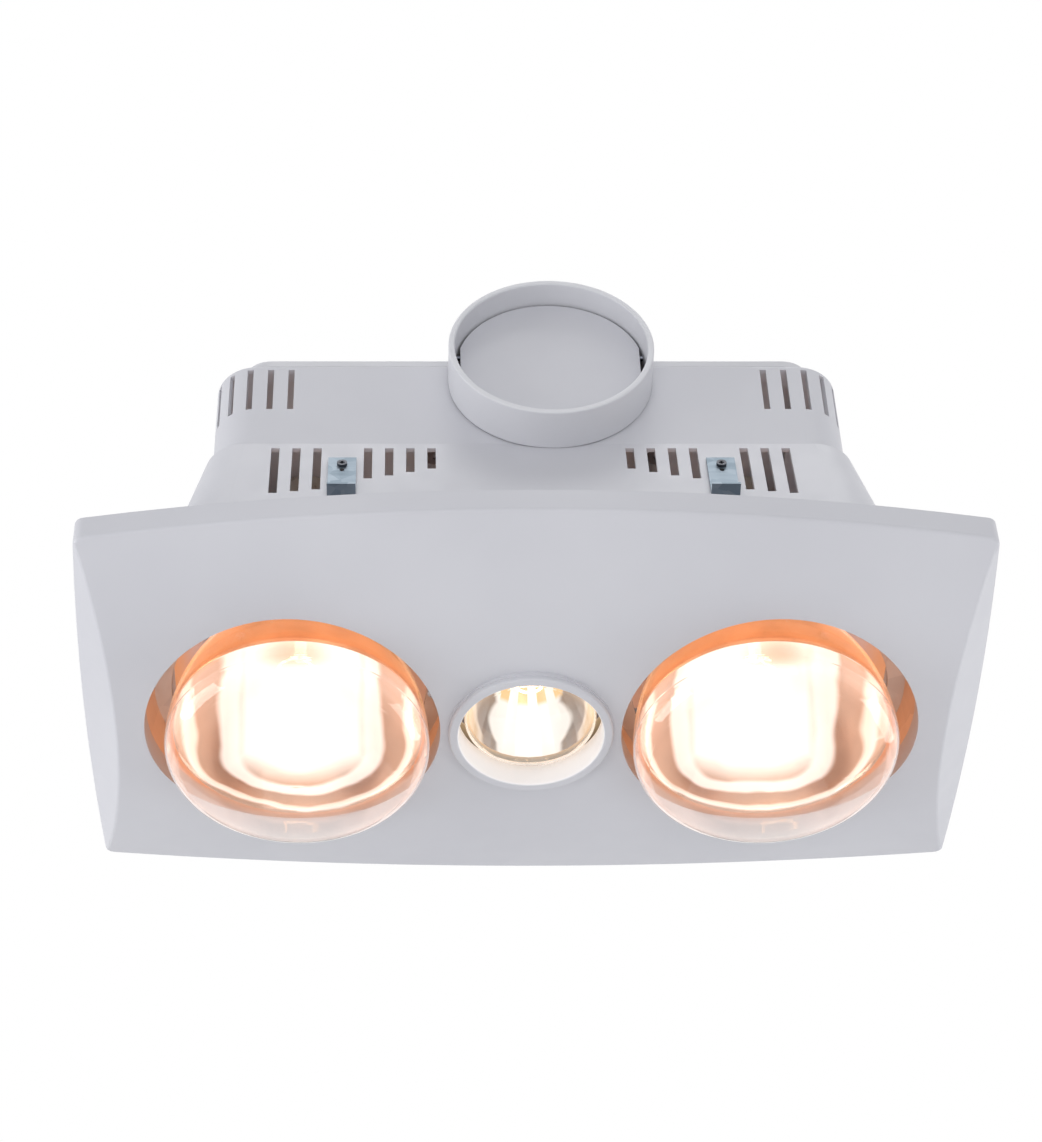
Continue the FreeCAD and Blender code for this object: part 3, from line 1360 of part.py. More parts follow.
def build():
    nodes = {
        "fascia": make_fascia(),
        "fascia_clips": make_fascia_clips(),
        "light_trim_ring": make_light_trim_ring(),
        "housing_shell": make_housing_shell(),
        "top_lid": make_top_lid(),
        "lid_screws": make_lid_screws(),
        "fan_hood": make_fan_hood(),
        "hood_screws": make_hood_screws(),
        "terminal_cover": make_terminal_cover(),
        "terminal_block": make_terminal_block(),
        "earth_screw": make_earth_screw(),
        "cable_gland": make_cable_gland(),
        "thermal_cutout": make_thermal_cutout(),
        "duct_collar": make_duct_collar(),
        "backdraft_flap": make_backdraft_flap(),
        "flap_pin": make_flap_pin(),
        "fan_tunnel": make_fan_tunnel(),
        "fan_impeller": make_fan_impeller(),
        "motor_shaft": make_motor_shaft(),
        "motor_rotor": make_motor_rotor(),
        "motor_stator": make_motor_stator(),
        "motor_coil": make_motor_coil(),
        "motor_front_bracket": make_motor_front_bracket(),
        "motor_rear_bracket": make_motor_rear_bracket(),
        "motor_bearings": make_motor_bearings(),
        "motor_strap": make_motor_strap(),
        "tunnel_screws": make_tunnel_screws(),
        "motor_screws": make_motor_screws(),
        "base_plate": make_base_plate(),
        "plate_screws": make_plate_screws(),
        "shield_screws": make_shield_screws(),
        "light_bracket": make_light_bracket(),
        "holder_screws": make_holder_screws(),
        "internal_leads": make_internal_leads(),
    }
    for side, sign in sides.items():
        nodes["heat_shield_" + side] = make_heat_shield(sign)
    for name, (x, lamp, top) in holder_seats().items():
        kind = "light_lamp" if name == "centre" else "heat_lamp_" + name
        nodes["lampholder_" + name] = make_lampholder(name)
        nodes[kind + "_glass"] = make_lamp_glass(lamp, x)
        nodes[kind + "_cap"] = make_lamp_cap(lamp, x)
        nodes[kind + "_stem"] = make_lamp_stem(lamp, x)
        nodes[kind + "_filament"] = make_lamp_filament(lamp, x)
    for name, x, rear in clamp_places():
        nodes["clamp_bracket_" + name] = make_clamp_bracket(x, rear)
        nodes["clamp_screw_" + name] = make_clamp_screw(x, rear)
    return nodes


os.makedirs("parts", exist_ok=True)
for node_name, shape in build().items():
    print(node_name, len(shape.Solids), "solids, valid", shape.isValid(), "volume", round(shape.Volume, 1))
    shape.exportStep("parts/" + node_name + ".step")
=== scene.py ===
import json
import math
import bmesh
import bpy
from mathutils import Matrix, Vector


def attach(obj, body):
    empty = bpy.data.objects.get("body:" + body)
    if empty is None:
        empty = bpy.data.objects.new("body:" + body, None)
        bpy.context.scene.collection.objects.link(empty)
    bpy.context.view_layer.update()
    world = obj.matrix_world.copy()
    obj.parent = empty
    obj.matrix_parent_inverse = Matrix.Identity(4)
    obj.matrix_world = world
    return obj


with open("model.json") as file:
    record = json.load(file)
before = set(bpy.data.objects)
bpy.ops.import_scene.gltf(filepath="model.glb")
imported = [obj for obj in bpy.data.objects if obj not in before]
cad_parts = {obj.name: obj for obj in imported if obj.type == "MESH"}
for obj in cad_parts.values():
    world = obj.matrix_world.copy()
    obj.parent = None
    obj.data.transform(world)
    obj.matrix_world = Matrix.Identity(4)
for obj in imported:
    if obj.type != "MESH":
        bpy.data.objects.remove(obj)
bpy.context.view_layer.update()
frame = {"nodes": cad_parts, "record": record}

nodes = frame["nodes"]
scene = bpy.context.scene
scene.view_settings.view_transform = "Standard"
print("frame loaded with", len(nodes), "nodes")


# node helpers shared by all finishes

rising = (0.0, 1.0)
falling = (1.0, 0.0)
softStops = (0.3, 0.7)
plainNoise = {"detail": 2.0, "rough": 0.5}
newStop = 0.5
mixSockets = {"share": 0, "first": 6, "second": 7, "result": 2}
white = (1.0, 1.0, 1.0)


def opened(finish):
    tree = finish.node_tree
    return tree, tree.nodes["Principled BSDF"]


def newFinish(name):
    finish = bpy.data.materials.new(name)
    finish.use_nodes = True
    return (finish, *opened(finish))


def objectPlace(tree, scale=(1, 1, 1), centre=(0, 0, 0)):
    place = tree.nodes.new("ShaderNodeTexCoord")
    mapping = tree.nodes.new("ShaderNodeMapping")
    mapping.inputs["Location"].default_value = [-c * s for c, s in zip(centre, scale)]
    mapping.inputs["Scale"].default_value = scale
    tree.links.new(place.outputs["Object"], mapping.inputs["Vector"])
    return mapping.outputs["Vector"]


def noiseOn(tree, vector, scale, detail=plainNoise["detail"], rough=plainNoise["rough"]):
    noise = tree.nodes.new("ShaderNodeTexNoise")
    noise.inputs["Scale"].default_value = scale
    noise.inputs["Detail"].default_value = detail
    noise.inputs["Roughness"].default_value = rough
    tree.links.new(vector, noise.inputs["Vector"])
    return noise.outputs["Fac"]


def ramp(tree, value, stops):
    node = tree.nodes.new("ShaderNodeValToRGB")
    node.color_ramp.interpolation = "EASE"
    elements = node.color_ramp.elements
    while len(elements) < len(stops):
        elements.new(newStop)
    for element, (place, colour) in zip(elements, stops):
        element.position = place
        element.color = (*colour, 1.0)
    tree.links.new(value, node.inputs["Fac"])
    return node.outputs["Color"]


def twoTone(tree, noise, look, stops=softStops):
    return ramp(tree, noise, tuple(zip(stops, (look["dark"], look["light"]))))


def remap(tree, value, to, span=rising):
    node = tree.nodes.new("ShaderNodeMapRange")
    for socket, number in zip(("From Min", "From Max", "To Min", "To Max"), (*span, *to)):
        node.inputs[socket].default_value = number
    tree.links.new(value, node.inputs["Value"])
    return node.outputs["Result"]


def shareOf(tree, value, span):
    # from none to all across the span
    return remap(tree, value, rising, span)


def maths(tree, operation, first, second=0.0, third=0.0):
    node = tree.nodes.new("ShaderNodeMath")
    node.operation = operation
    for socket, value in zip(node.inputs, (first, second, third)):
        if isinstance(value, (int, float)):
            socket.default_value = value
        else:
            tree.links.new(value, socket)
    return node.outputs["Value"]


def times(tree, product, *others):
    for other in others:
        product = maths(tree, "MULTIPLY", product, other)
    return product


def mixColours(tree, share, first, second):
    node = tree.nodes.new("ShaderNodeMix")
    node.data_type = "RGBA"
    tree.links.new(share, node.inputs[mixSockets["share"]])
    for name, colour in (("first", first), ("second", second)):
        socket = node.inputs[mixSockets[name]]
        if isinstance(colour, tuple):
            socket.default_value = (*colour, 1.0)
        else:
            tree.links.new(colour, socket)
    return node.outputs[mixSockets["result"]]


def bumpFrom(tree, shader, height, strength, distance):
    bump = tree.nodes.new("ShaderNodeBump")
    bump.inputs["Strength"].default_value = strength
    bump.inputs["Distance"].default_value = distance
    tree.links.new(height, bump.inputs["Height"])
    tree.links.new(bump.outputs["Normal"], shader.inputs["Normal"])


def setGlow(tree, shader, colour, power):
    shader.inputs["Emission Color"].default_value = (*colour, 1.0)
    if isinstance(power, float):
        shader.inputs["Emission Strength"].default_value = power
    else:
        tree.links.new(power, shader.inputs["Emission Strength"])


# places on the object, in metres; x is where an upright axis stands

lampX = {"left": -0.1104, "right": 0.1104}
noHeight = (1, 1, 0)
frontward = (1, -1, 1)


def axisFrom(tree, axis, scale=(1, 1, 1), centre=(0, 0, 0)):
    split = tree.nodes.new("ShaderNodeSeparateXYZ")
    tree.links.new(objectPlace(tree, scale, centre), split.inputs["Vector"])
    return split.outputs[axis]


def heightFrom(tree):
    return axisFrom(tree, "Z")


def frontFrom(tree):
    # distance in front of the lamps' middle plane
    return axisFrom(tree, "Y", frontward)


def depthFrom(tree):
    # distance in front of that plane or behind it
    return maths(tree, "ABSOLUTE", axisFrom(tree, "Y"))


def sideFrom(tree, x):
    # distance to the left or right of the axis
    return maths(tree, "ABSOLUTE", axisFrom(tree, "X", centre=(x, 0, 0)))


def radiusFrom(tree, x):
    # distance from the axis
    length = tree.nodes.new("ShaderNodeVectorMath")
    length.operation = "LENGTH"
    tree.links.new(objectPlace(tree, noHeight, (x, 0, 0)), length.inputs[0])
    return length.outputs["Value"]


def facingFrom(tree, x):
    # above zero where a face looks away from the axis, below zero where it looks at it
    facing = tree.nodes.new("ShaderNodeTexCoord").outputs["Normal"]
    outward = tree.nodes.new("ShaderNodeVectorMath")
    outward.operation = "DOT_PRODUCT"
    tree.links.new(facing, outward.inputs[0])
    tree.links.new(objectPlace(tree, noHeight, (x, 0, 0)), outward.inputs[1])
    return outward.outputs["Value"]


# moulded plastics

plasticNoise = {"cloud": 7.0, "patch": 90.0, "detail": 3.0, "bumpDepth": 0.0002}
plastics = {
    "white_moulding": {"dark": (0.585, 0.588, 0.632), "light": (0.625, 0.628, 0.67),
                       "rough": (0.36, 0.5), "grain": 1500.0, "bump": 0.05},
    # a paler copy of the white moulding: painted light for the duct collar
    "pale_moulding": {"dark": (0.66, 0.664, 0.70), "light": (0.70, 0.704, 0.74),
                      "rough": (0.36, 0.5), "grain": 1500.0, "bump": 0.05},
    "grey_moulding": {"dark": (0.30, 0.305, 0.32), "light": (0.36, 0.365, 0.38),
                      "rough": (0.42, 0.58), "grain": 1500.0, "bump": 0.08},
    "black_moulding": {"dark": (0.018, 0.018, 0.02), "light": (0.032, 0.032, 0.035),
                       "rough": (0.4, 0.6), "grain": 1800.0, "bump": 0.1},
    "lead_sleeve": {"dark": (0.62, 0.60, 0.55), "light": (0.72, 0.70, 0.66),
                    "rough": (0.5, 0.65), "grain": 2500.0, "bump": 0.06}}


def makePlastic(name, look):
    finish, tree, shader = newFinish(name)
    place = objectPlace(tree)
    cloud = noiseOn(tree, place, plasticNoise["cloud"], plasticNoise["detail"])
    tree.links.new(twoTone(tree, cloud, look), shader.inputs["Base Color"])
    patch = noiseOn(tree, place, plasticNoise["patch"], plasticNoise["detail"])
    tree.links.new(remap(tree, patch, look["rough"], softStops), shader.inputs["Roughness"])
    grain = noiseOn(tree, place, look["grain"])
    bumpFrom(tree, shader, grain, look["bump"], plasticNoise["bumpDepth"])
    return finish


# sheet, turned and cast metals

metalNoise = {"cellShare": 0.45, "stain": 30.0, "stainDetail": 4.0, "stainShare": 0.55,
              "stops": (0.25, 0.75), "brush": 1.0, "brushDetail": 3.0, "bumpDepth": 0.0003}
metals = {
    "zinc_steel": {"dark": (0.18, 0.225, 0.265), "light": (0.255, 0.30, 0.345), "rough": (0.42, 0.56),
                   "cell": 160.0, "stretch": (40, 40, 900), "bump": 0.06},
    "screw_steel": {"dark": (0.40, 0.42, 0.45), "light": (0.60, 0.62, 0.65), "rough": (0.22, 0.36),
                    "cell": 600.0, "stretch": (900, 900, 120), "bump": 0.05},
    "dark_screw": {"dark": (0.05, 0.052, 0.06), "light": (0.10, 0.105, 0.12), "rough": (0.3, 0.45),
                   "cell": 600.0, "stretch": (900, 900, 120), "bump": 0.05},
    "spring_steel": {"dark": (0.16, 0.17, 0.20), "light": (0.27, 0.29, 0.33), "rough": (0.28, 0.42),
                     "cell": 300.0, "stretch": (60, 60, 900), "bump": 0.05},
    "lamp_brass": {"dark": (0.52, 0.36, 0.13), "light": (0.72, 0.55, 0.26), "rough": (0.24, 0.42),
                   "cell": 200.0, "stretch": (60, 60, 1200), "bump": 0.06},
    # the warm tint of bright aluminium is painted lamp light
    "bright_aluminium": {"dark": (0.66, 0.53, 0.45), "light": (0.82, 0.68, 0.58), "rough": (0.42, 0.56),
                         "cell": 60.0, "stretch": (30, 30, 1600), "bump": 0.08},
    "motor_iron": {"dark": (0.10, 0.10, 0.11), "light": (0.24, 0.24, 0.26), "rough": (0.4, 0.6),
                   "cell": 250.0, "stretch": (40, 2000, 40), "bump": 0.5},
    "copper_winding": {"dark": (0.34, 0.11, 0.04), "light": (0.62, 0.26, 0.11), "rough": (0.25, 0.4),
                       "cell": 500.0, "stretch": (30, 30, 2400), "bump": 0.6}}


def makeMetal(name, look):
    finish, tree, shader = newFinish(name)
    shader.inputs["Metallic"].default_value = 1.0
    place = objectPlace(tree)
    cell = tree.nodes.new("ShaderNodeTexVoronoi")
    cell.inputs["Scale"].default_value = look["cell"]
    tree.links.new(place, cell.inputs["Vector"])
    split = tree.nodes.new("ShaderNodeSeparateColor")
    tree.links.new(cell.outputs["Color"], split.inputs["Color"])
    stain = noiseOn(tree, place, metalNoise["stain"], metalNoise["stainDetail"])
    mixed = maths(tree, "ADD", times(tree, split.outputs["Red"], metalNoise["cellShare"]),
                  times(tree, stain, metalNoise["stainShare"]))
    tree.links.new(twoTone(tree, mixed, look, metalNoise["stops"]), shader.inputs["Base Color"])
    stretched = objectPlace(tree, look["stretch"])
    brushed = noiseOn(tree, stretched, metalNoise["brush"], metalNoise["brushDetail"])
    tree.links.new(remap(tree, brushed, look["rough"], softStops), shader.inputs["Roughness"])
    bumpFrom(tree, shader, brushed, look["bump"], metalNoise["bumpDepth"])
    return finish


# enamel of the lid and glaze of the lampholders

glazes = {
    "white_enamel": {"dark": (0.60, 0.603, 0.64), "light": (0.65, 0.653, 0.69), "cloud": (9.0, 3.0, 0.5),
                     "stops": (0.3, 0.7), "patch": 60.0, "rough": (0.28, 0.4), "roughFrom": (0.3, 0.7),
                     "coat": 0.25, "ripple": 420.0, "bump": 0.12, "bumpDepth": 0.0003},
    "ceramic": {"dark": (0.55, 0.51, 0.43), "light": (0.75, 0.72, 0.64), "cloud": (220.0, 5.0, 0.7),
                "stops": (0.3, 0.48), "patch": 120.0, "rough": (0.15, 0.3), "roughFrom": (0.0, 1.0),
                "coat": 0.6, "ripple": 160.0, "bump": 0.1, "bumpDepth": 0.0004}}


def makeGlaze(name, look):
    finish, tree, shader = newFinish(name)
    place = objectPlace(tree)
    cloud = noiseOn(tree, place, *look["cloud"])
    tree.links.new(twoTone(tree, cloud, look, look["stops"]), shader.inputs["Base Color"])
    patch = noiseOn(tree, place, look["patch"])
    tree.links.new(remap(tree, patch, look["rough"], look["roughFrom"]), shader.inputs["Roughness"])
    shader.inputs["Coat Weight"].default_value = look["coat"]
    bumpFrom(tree, shader, noiseOn(tree, place, look["ripple"]), look["bump"], look["bumpDepth"])
    return finish


# lamp glass: clear face tinted towards its front edge, a soft glow in the rim, a stronger one up the
# body, paler at the neck

glassIndex = 1.47
glassNoise = {"patch": 45.0, "patchDetail": 3.0, "rough": (0.0, 0.05), "roughFrom": (0.35, 0.7),
              "ripple": 60.0, "bump": 0.06, "bumpDepth": 0.001}
lampGlass = {
    "heat": {"tint": (1.0, 0.95, 0.92), "edgeTint": (0.97, 0.88, 0.84), "tintFrom": (0.048, 0.058),
             "frontTint": (0.68, 0.45, 0.34), "frontFrom": (0.0596, 0.0624),
             "body": (1.0, 0.47, 0.21), "bodyFrom": (-0.037, -0.027), "bodyPower": 0.24,
             "leak": (0.80, 0.90, 1.0), "leakFrom": (0.010, 0.024),
             "rim": (1.0, 0.72, 0.60), "rimFrom": (0.054, 0.0615), "rimPower": 0.10,
             "rimSide": (0.014, 0.032)},
    "light": {"tint": (1.0, 0.98, 0.96), "edgeTint": (1.0, 0.94, 0.86), "tintFrom": (0.024, 0.030),
              "frontTint": (1.0, 0.94, 0.86), "frontFrom": (0.028, 0.031),
              "body": (1.0, 0.62, 0.32), "bodyFrom": (-0.024, -0.017), "bodyPower": 0.40,
              "leak": (0.90, 0.95, 1.0), "leakFrom": (-0.004, 0.008),
              "rim": (1.0, 0.86, 0.70), "rimFrom": (0.027, 0.031), "rimPower": 0.12,
              "rimSide": (0.0, 0.010)}}


def makeClear(shader):
    shader.inputs["Transmission Weight"].default_value = 1.0
    shader.inputs["IOR"].default_value = glassIndex


def makeLampGlass(name, look, x):
    finish, tree, shader = newFinish(name)
    makeClear(shader)
    fromAxis = radiusFrom(tree, x)
    edge = shareOf(tree, fromAxis, look["tintFrom"])
    tint = ramp(tree, edge, tuple(zip(rising, (look["tint"], look["edgeTint"]))))
    front = shareOf(tree, frontFrom(tree), look["frontFrom"])
    tree.links.new(mixColours(tree, front, tint, look["frontTint"]), shader.inputs["Base Color"])
    place = objectPlace(tree)
    patch = noiseOn(tree, place, glassNoise["patch"], glassNoise["patchDetail"])
    rough = remap(tree, patch, glassNoise["rough"], glassNoise["roughFrom"])
    tree.links.new(rough, shader.inputs["Roughness"])
    body = shareOf(tree, heightFrom(tree), look["bodyFrom"])
    rim = remap(tree, fromAxis, (0.0, look["rimPower"]), look["rimFrom"])
    rim = times(tree, rim, shareOf(tree, sideFrom(tree, x), look["rimSide"]))
    power = maths(tree, "MAXIMUM", times(tree, body, look["bodyPower"]), rim)
    tree.links.new(power, shader.inputs["Emission Strength"])
    low, high = look["bodyFrom"][0], look["leakFrom"][1]
    bodyStart, bodyEnd = [(height - low) / (high - low)
                          for height in (look["bodyFrom"][1], look["leakFrom"][0])]
    glow = ramp(tree, shareOf(tree, heightFrom(tree), (low, high)),
                ((0.0, look["rim"]), (bodyStart, look["body"]),
                 (bodyEnd, look["body"]), (1.0, look["leak"])))
    tree.links.new(glow, shader.inputs["Emission Color"])
    ripple = noiseOn(tree, place, glassNoise["ripple"])
    bumpFrom(tree, shader, ripple, glassNoise["bump"], glassNoise["bumpDepth"])
    return finish


# lamp stems and filaments

stemGlass = {"dark": (0.86, 0.92, 0.90), "light": (0.97, 0.98, 0.97), "cloud": 80.0, "patch": 150.0,
             "rough": (0.0, 0.08), "glow": (1.0, 0.93, 0.84), "power": 0.30}
filament = {"dark": (1.0, 0.62, 0.30), "light": (1.0, 0.86, 0.64), "cloud": 400.0, "power": 3.5}


def makeStemGlass(name):
    finish, tree, shader = newFinish(name)
    makeClear(shader)
    setGlow(tree, shader, stemGlass["glow"], stemGlass["power"])
    place = objectPlace(tree)
    cloud = noiseOn(tree, place, stemGlass["cloud"])
    tree.links.new(twoTone(tree, cloud, stemGlass), shader.inputs["Base Color"])
    patch = noiseOn(tree, place, stemGlass["patch"])
    tree.links.new(remap(tree, patch, stemGlass["rough"]), shader.inputs["Roughness"])
    return finish


def makeFilament(name):
    finish, tree, shader = newFinish(name)
    heat = twoTone(tree, noiseOn(tree, objectPlace(tree), filament["cloud"]), filament)
    tree.links.new(heat, shader.inputs["Base Color"])
    tree.links.new(heat, shader.inputs["Emission Color"])
    shader.inputs["Emission Strength"].default_value = filament["power"]
    return finish


# trim ring and plate: painted lamp light, a warm glow near the centre lamp

trimPaintedLight = {"colour": (1.0, 0.95, 0.88), "power": 0.40, "reach": (0.0350, 0.0344)}
platePaintedLight = {"colour": (1.0, 0.66, 0.36), "power": 0.40, "reach": (0.050, 0.040)}


def paintLampLightNearCentre(finish, look):
    tree, shader = opened(finish)
    power = remap(tree, radiusFrom(tree, 0), (0.0, look["power"]), look["reach"])
    setGlow(tree, shader, look["colour"], power)
    return finish


# heat shields: polished metal towards the lamp, with a painted warm cast and a painted lamp glow, plain
# grey sheet towards the housing

shieldBack = {"dark": (0.50, 0.51, 0.53), "light": (0.62, 0.63, 0.65), "cloud": 35.0, "cloudDetail": 4.0,
              "turn": (-0.001, 0.001), "paintedLampGlow": (1.0, 0.45, 0.22), "power": 0.08}


def makeShield(name, x):
    finish = makeMetal(name, metals["bright_aluminium"])
    tree, shader = opened(finish)
    back = shareOf(tree, facingFrom(tree, x), shieldBack["turn"])
    cloud = noiseOn(tree, objectPlace(tree), shieldBack["cloud"], shieldBack["cloudDetail"])
    sheet = twoTone(tree, cloud, shieldBack)
    # the polished metal's colour carries a painted warm cast of lamp light
    polishAndPaintedCast = shader.inputs["Base Color"].links[0].from_socket
    tree.links.new(mixColours(tree, back, polishAndPaintedCast, sheet), shader.inputs["Base Color"])
    front = maths(tree, "SUBTRACT", 1.0, back)
    tree.links.new(front, shader.inputs["Metallic"])
    # painted lamp glow on the side that faces the lamp
    setGlow(tree, shader, shieldBack["paintedLampGlow"], times(tree, front, shieldBack["power"]))
    return finish


# lamp light on the walls inside the housing: beside the heat lamps, and on the patch of the front and
# rear walls that shows between a heat lamp and its hole

insideGlow = {"colour": (1.0, 0.32, 0.08), "power": 0.34, "inward": (0.0, -0.002),
              "depth": (0.0899, 0.0897), "reach": (0.076, 0.068), "top": (0.050, 0.040),
              "wall": (0.0885, 0.0893), "patchHeights": ((0.060, 0.070), (0.108, 0.098)),
              "patchSides": ((0.034, 0.042), (0.072, 0.064))}


def makeShell(name):
    finish = makePlastic(name, plastics["white_moulding"])
    tree, shader = opened(finish)
    height, side, depth = heightFrom(tree), sideFrom(tree, 0), depthFrom(tree)
    nearest = maths(tree, "MINIMUM", *[radiusFrom(tree, x) for x in lampX.values()])
    beside = times(tree, shareOf(tree, nearest, insideGlow["reach"]),
                   shareOf(tree, height, insideGlow["top"]))
    patch = times(tree, shareOf(tree, depth, insideGlow["wall"]),
                  *[shareOf(tree, height, span) for span in insideGlow["patchHeights"]],
                  *[shareOf(tree, side, span) for span in insideGlow["patchSides"]])
    inward = shareOf(tree, facingFrom(tree, 0), insideGlow["inward"])
    power = times(tree, maths(tree, "MAXIMUM", beside, patch), inward,
                  shareOf(tree, depth, insideGlow["depth"]), insideGlow["power"])
    setGlow(tree, shader, insideGlow["colour"], power)
    return finish


# every node takes the finish of its material slot, and some a finish of their own

finishes = {name: makePlastic(name, look) for name, look in plastics.items()}
finishes.update({name: makeMetal(name, look) for name, look in metals.items()})
finishes.update({name: makeGlaze(name, look) for name, look in glazes.items()})
finishes["clear_glass"] = makeStemGlass("clear_glass")
finishes["tungsten"] = makeFilament("tungsten")


def dress(node, finish):
    mesh = nodes[node].data
    mesh.materials.clear()
    mesh.materials.append(finish)


for part in frame["record"]["subparts"]:
    if part["material_slot"] in finishes:
        dress(part["node"], finishes[part["material_slot"]])
for side, x in lampX.items():
    dress("heat_lamp_" + side + "_glass", makeLampGlass("heat_glass_" + side, lampGlass["heat"], x))
    dress("heat_shield_" + side, makeShield("shield_" + side, x))
dress("light_lamp_glass", makeLampGlass("light_glass", lampGlass["light"], 0))
for corner in ("front_left", "front_right", "rear_left", "rear_right"):
    dress("clamp_screw_" + corner, finishes["dark_screw"])
# painted light: the collar takes a paler copy of the white moulding to stand in for light on its
# underside
dress("duct_collar", finishes["pale_moulding"])
dress("housing_shell", makeShell("white_shell"))
# painted lamp light on the inner wall of the trim ring and on the base plate near the centre lamp
dress("light_trim_ring", paintLampLightNearCentre(makePlastic("white_trim", plastics["white_moulding"]), trimPaintedLight))
dress("base_plate", paintLampLightNearCentre(makeMetal("plate_painted_lamplight", metals["zinc_steel"]), platePaintedLight))
print("finishes made:", len(bpy.data.materials))


# new pieces are spun in a bmesh, then put in place

weldGap = 1e-6


def pieceFrom(shape, name, finishList, body, smooth):
    for face in shape.faces:
        face.smooth = smooth
    mesh = bpy.data.meshes.new(name)
    shape.to_mesh(mesh)
    shape.free()
    for finish in finishList:
        mesh.materials.append(finish)
    piece = bpy.data.objects.new(name, mesh)
    scene.collection.objects.link(piece)
    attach(piece, body)


def spinOutline(points, steps):
    shape = bmesh.new()
    corners = [shape.verts.new((radius, 0, height)) for radius, height in points]
    edges = [shape.edges.new(pair) for pair in zip(corners, corners[1:] + corners[:1])]
    bmesh.ops.spin(shape, geom=corners + edges, cent=(0, 0, 0), axis=(0, 0, 1), angle=math.tau,
                   steps=steps, use_merge=True)
    bmesh.ops.remove_doubles(shape, verts=shape.verts, dist=weldGap)
    bmesh.ops.recalc_face_normals(shape, faces=shape.faces)
    return shape


def paintOutside(shape):
    # faces that look away from the axis take the second finish
    for face in shape.faces:
        middle = face.calc_center_median()
        if face.normal.x * middle.x + face.normal.y * middle.y > 0:
            face.material_index = 1


def offsetWall(outline, wall):
    # the outline, then back along the same points one wall thickness nearer the axis
    return outline + [(radius - wall, height) for radius, height in reversed(outline)]


# silvered bowls behind the lamp faces, with painted reflections of the lamp light as glow: bands that run
# up and inwards, round a bright core

heatBowl = {
    "outline": [(0.0598, -0.0300), (0.0594, -0.0260), (0.0583, -0.0207), (0.0569, -0.0155),
                (0.0552, -0.0104), (0.0532, -0.0054), (0.0510, -0.0005), (0.0416, 0.0175),
                (0.0322, 0.0355), (0.0227, 0.0535), (0.0199, 0.0575), (0.0180, 0.0625), (0.0168, 0.0700)],
    "wall": 0.0004, "steps": 96, "smooth": True, "bow": 0.0, "bowMiddle": 0.0, "bowMost": 0.0,
    "span": (-0.030, 0.030), "sideSpan": (-0.043, 0.0575), "power": 1.15, "metal": (0.42, 0.30, 0.24),
    "coreSide": (0.027, 0.036), "coreHeight": (-0.015, -0.004),
    "paintedReflectionBands": ((0.0, (0.34, 0.19, 0.12)), (0.025, (0.85, 0.75, 0.68)), (0.05, (0.80, 0.66, 0.56)),
              (0.075, (0.20, 0.085, 0.04)), (0.16, (0.16, 0.075, 0.04)), (0.195, (0.85, 0.76, 0.70)),
              (0.25, (0.88, 0.80, 0.74)), (0.285, (0.30, 0.145, 0.075)), (0.35, (0.32, 0.16, 0.09)),
              (0.41, (0.92, 0.82, 0.72)), (0.60, (0.97, 0.90, 0.80)), (1.0, (1.0, 0.97, 0.90)))}
lightBowl = {
    "outline": [(0.0300, -0.0200), (0.0296, -0.0165), (0.0288, -0.0120), (0.0271, -0.0070),
                (0.0251, -0.0017), (0.0215, 0.0075), (0.0178, 0.0165), (0.0146, 0.0245),
                (0.0131, 0.0295), (0.0126, 0.0350)],
    "wall": 0.0004, "steps": 28, "smooth": False, "bow": 45.0, "bowMiddle": -0.006, "bowMost": 0.0042,
    "span": (-0.06, -0.03), "sideSpan": (0.0, 0.031), "power": 1.0, "metal": (0.22, 0.19, 0.17),
    "coreSide": (0.010, 0.016), "coreHeight": (-0.020, -0.012),
    "paintedReflectionBands": ((0.0, (0.62, 0.42, 0.24)), (0.09, (0.70, 0.56, 0.44)), (0.16, (0.23, 0.17, 0.14)),
              (0.33, (0.20, 0.16, 0.135)), (0.42, (0.95, 0.90, 0.84)), (1.0, (1.0, 0.98, 0.95)))}
silverNoise = {"shade": 0.86, "cloud": 55.0, "cloudDetail": 4.0, "patch": 130.0, "patchDetail": 3.0,
               "rough": (0.16, 0.3), "wander": 26.0, "wanderReach": (-0.005, 0.005), "blend": 0.25,
               "ripple": 70.0, "bump": 0.12, "bumpDepth": 0.001}
# painted reflections on the facets of the light lamp's reflector
facetGlints = {"colour": (0.92, 0.57, 0.22), "from": (0.0052, 0.0075), "share": 0.9, "half": 0.5}
coatingNoise = {"cloud": 60.0, "cloudDetail": 4.0, "patch": 150.0, "rough": (0.3, 0.45)}
coating = {"heat": {"dark": (0.50, 0.22, 0.10), "light": (0.72, 0.38, 0.20)},
           "light": {"dark": (0.52, 0.40, 0.28), "light": (0.70, 0.58, 0.44)}}


def reflectionBandLevel(tree, place, bowl, x):
    wander = remap(tree, noiseOn(tree, place, silverNoise["wander"]), silverNoise["wanderReach"])
    upward = shareOf(tree, maths(tree, "ADD", heightFrom(tree), wander), bowl["span"])
    lift = maths(tree, "SUBTRACT", heightFrom(tree), bowl["bowMiddle"])
    bowed = maths(tree, "MINIMUM", times(tree, lift, lift, bowl["bow"]), bowl["bowMost"])
    side = maths(tree, "ADD", sideFrom(tree, x), bowed)
    inward = remap(tree, maths(tree, "ADD", side, wander), falling, bowl["sideSpan"])
    return maths(tree, "SMOOTH_MIN", upward, inward, silverNoise["blend"])


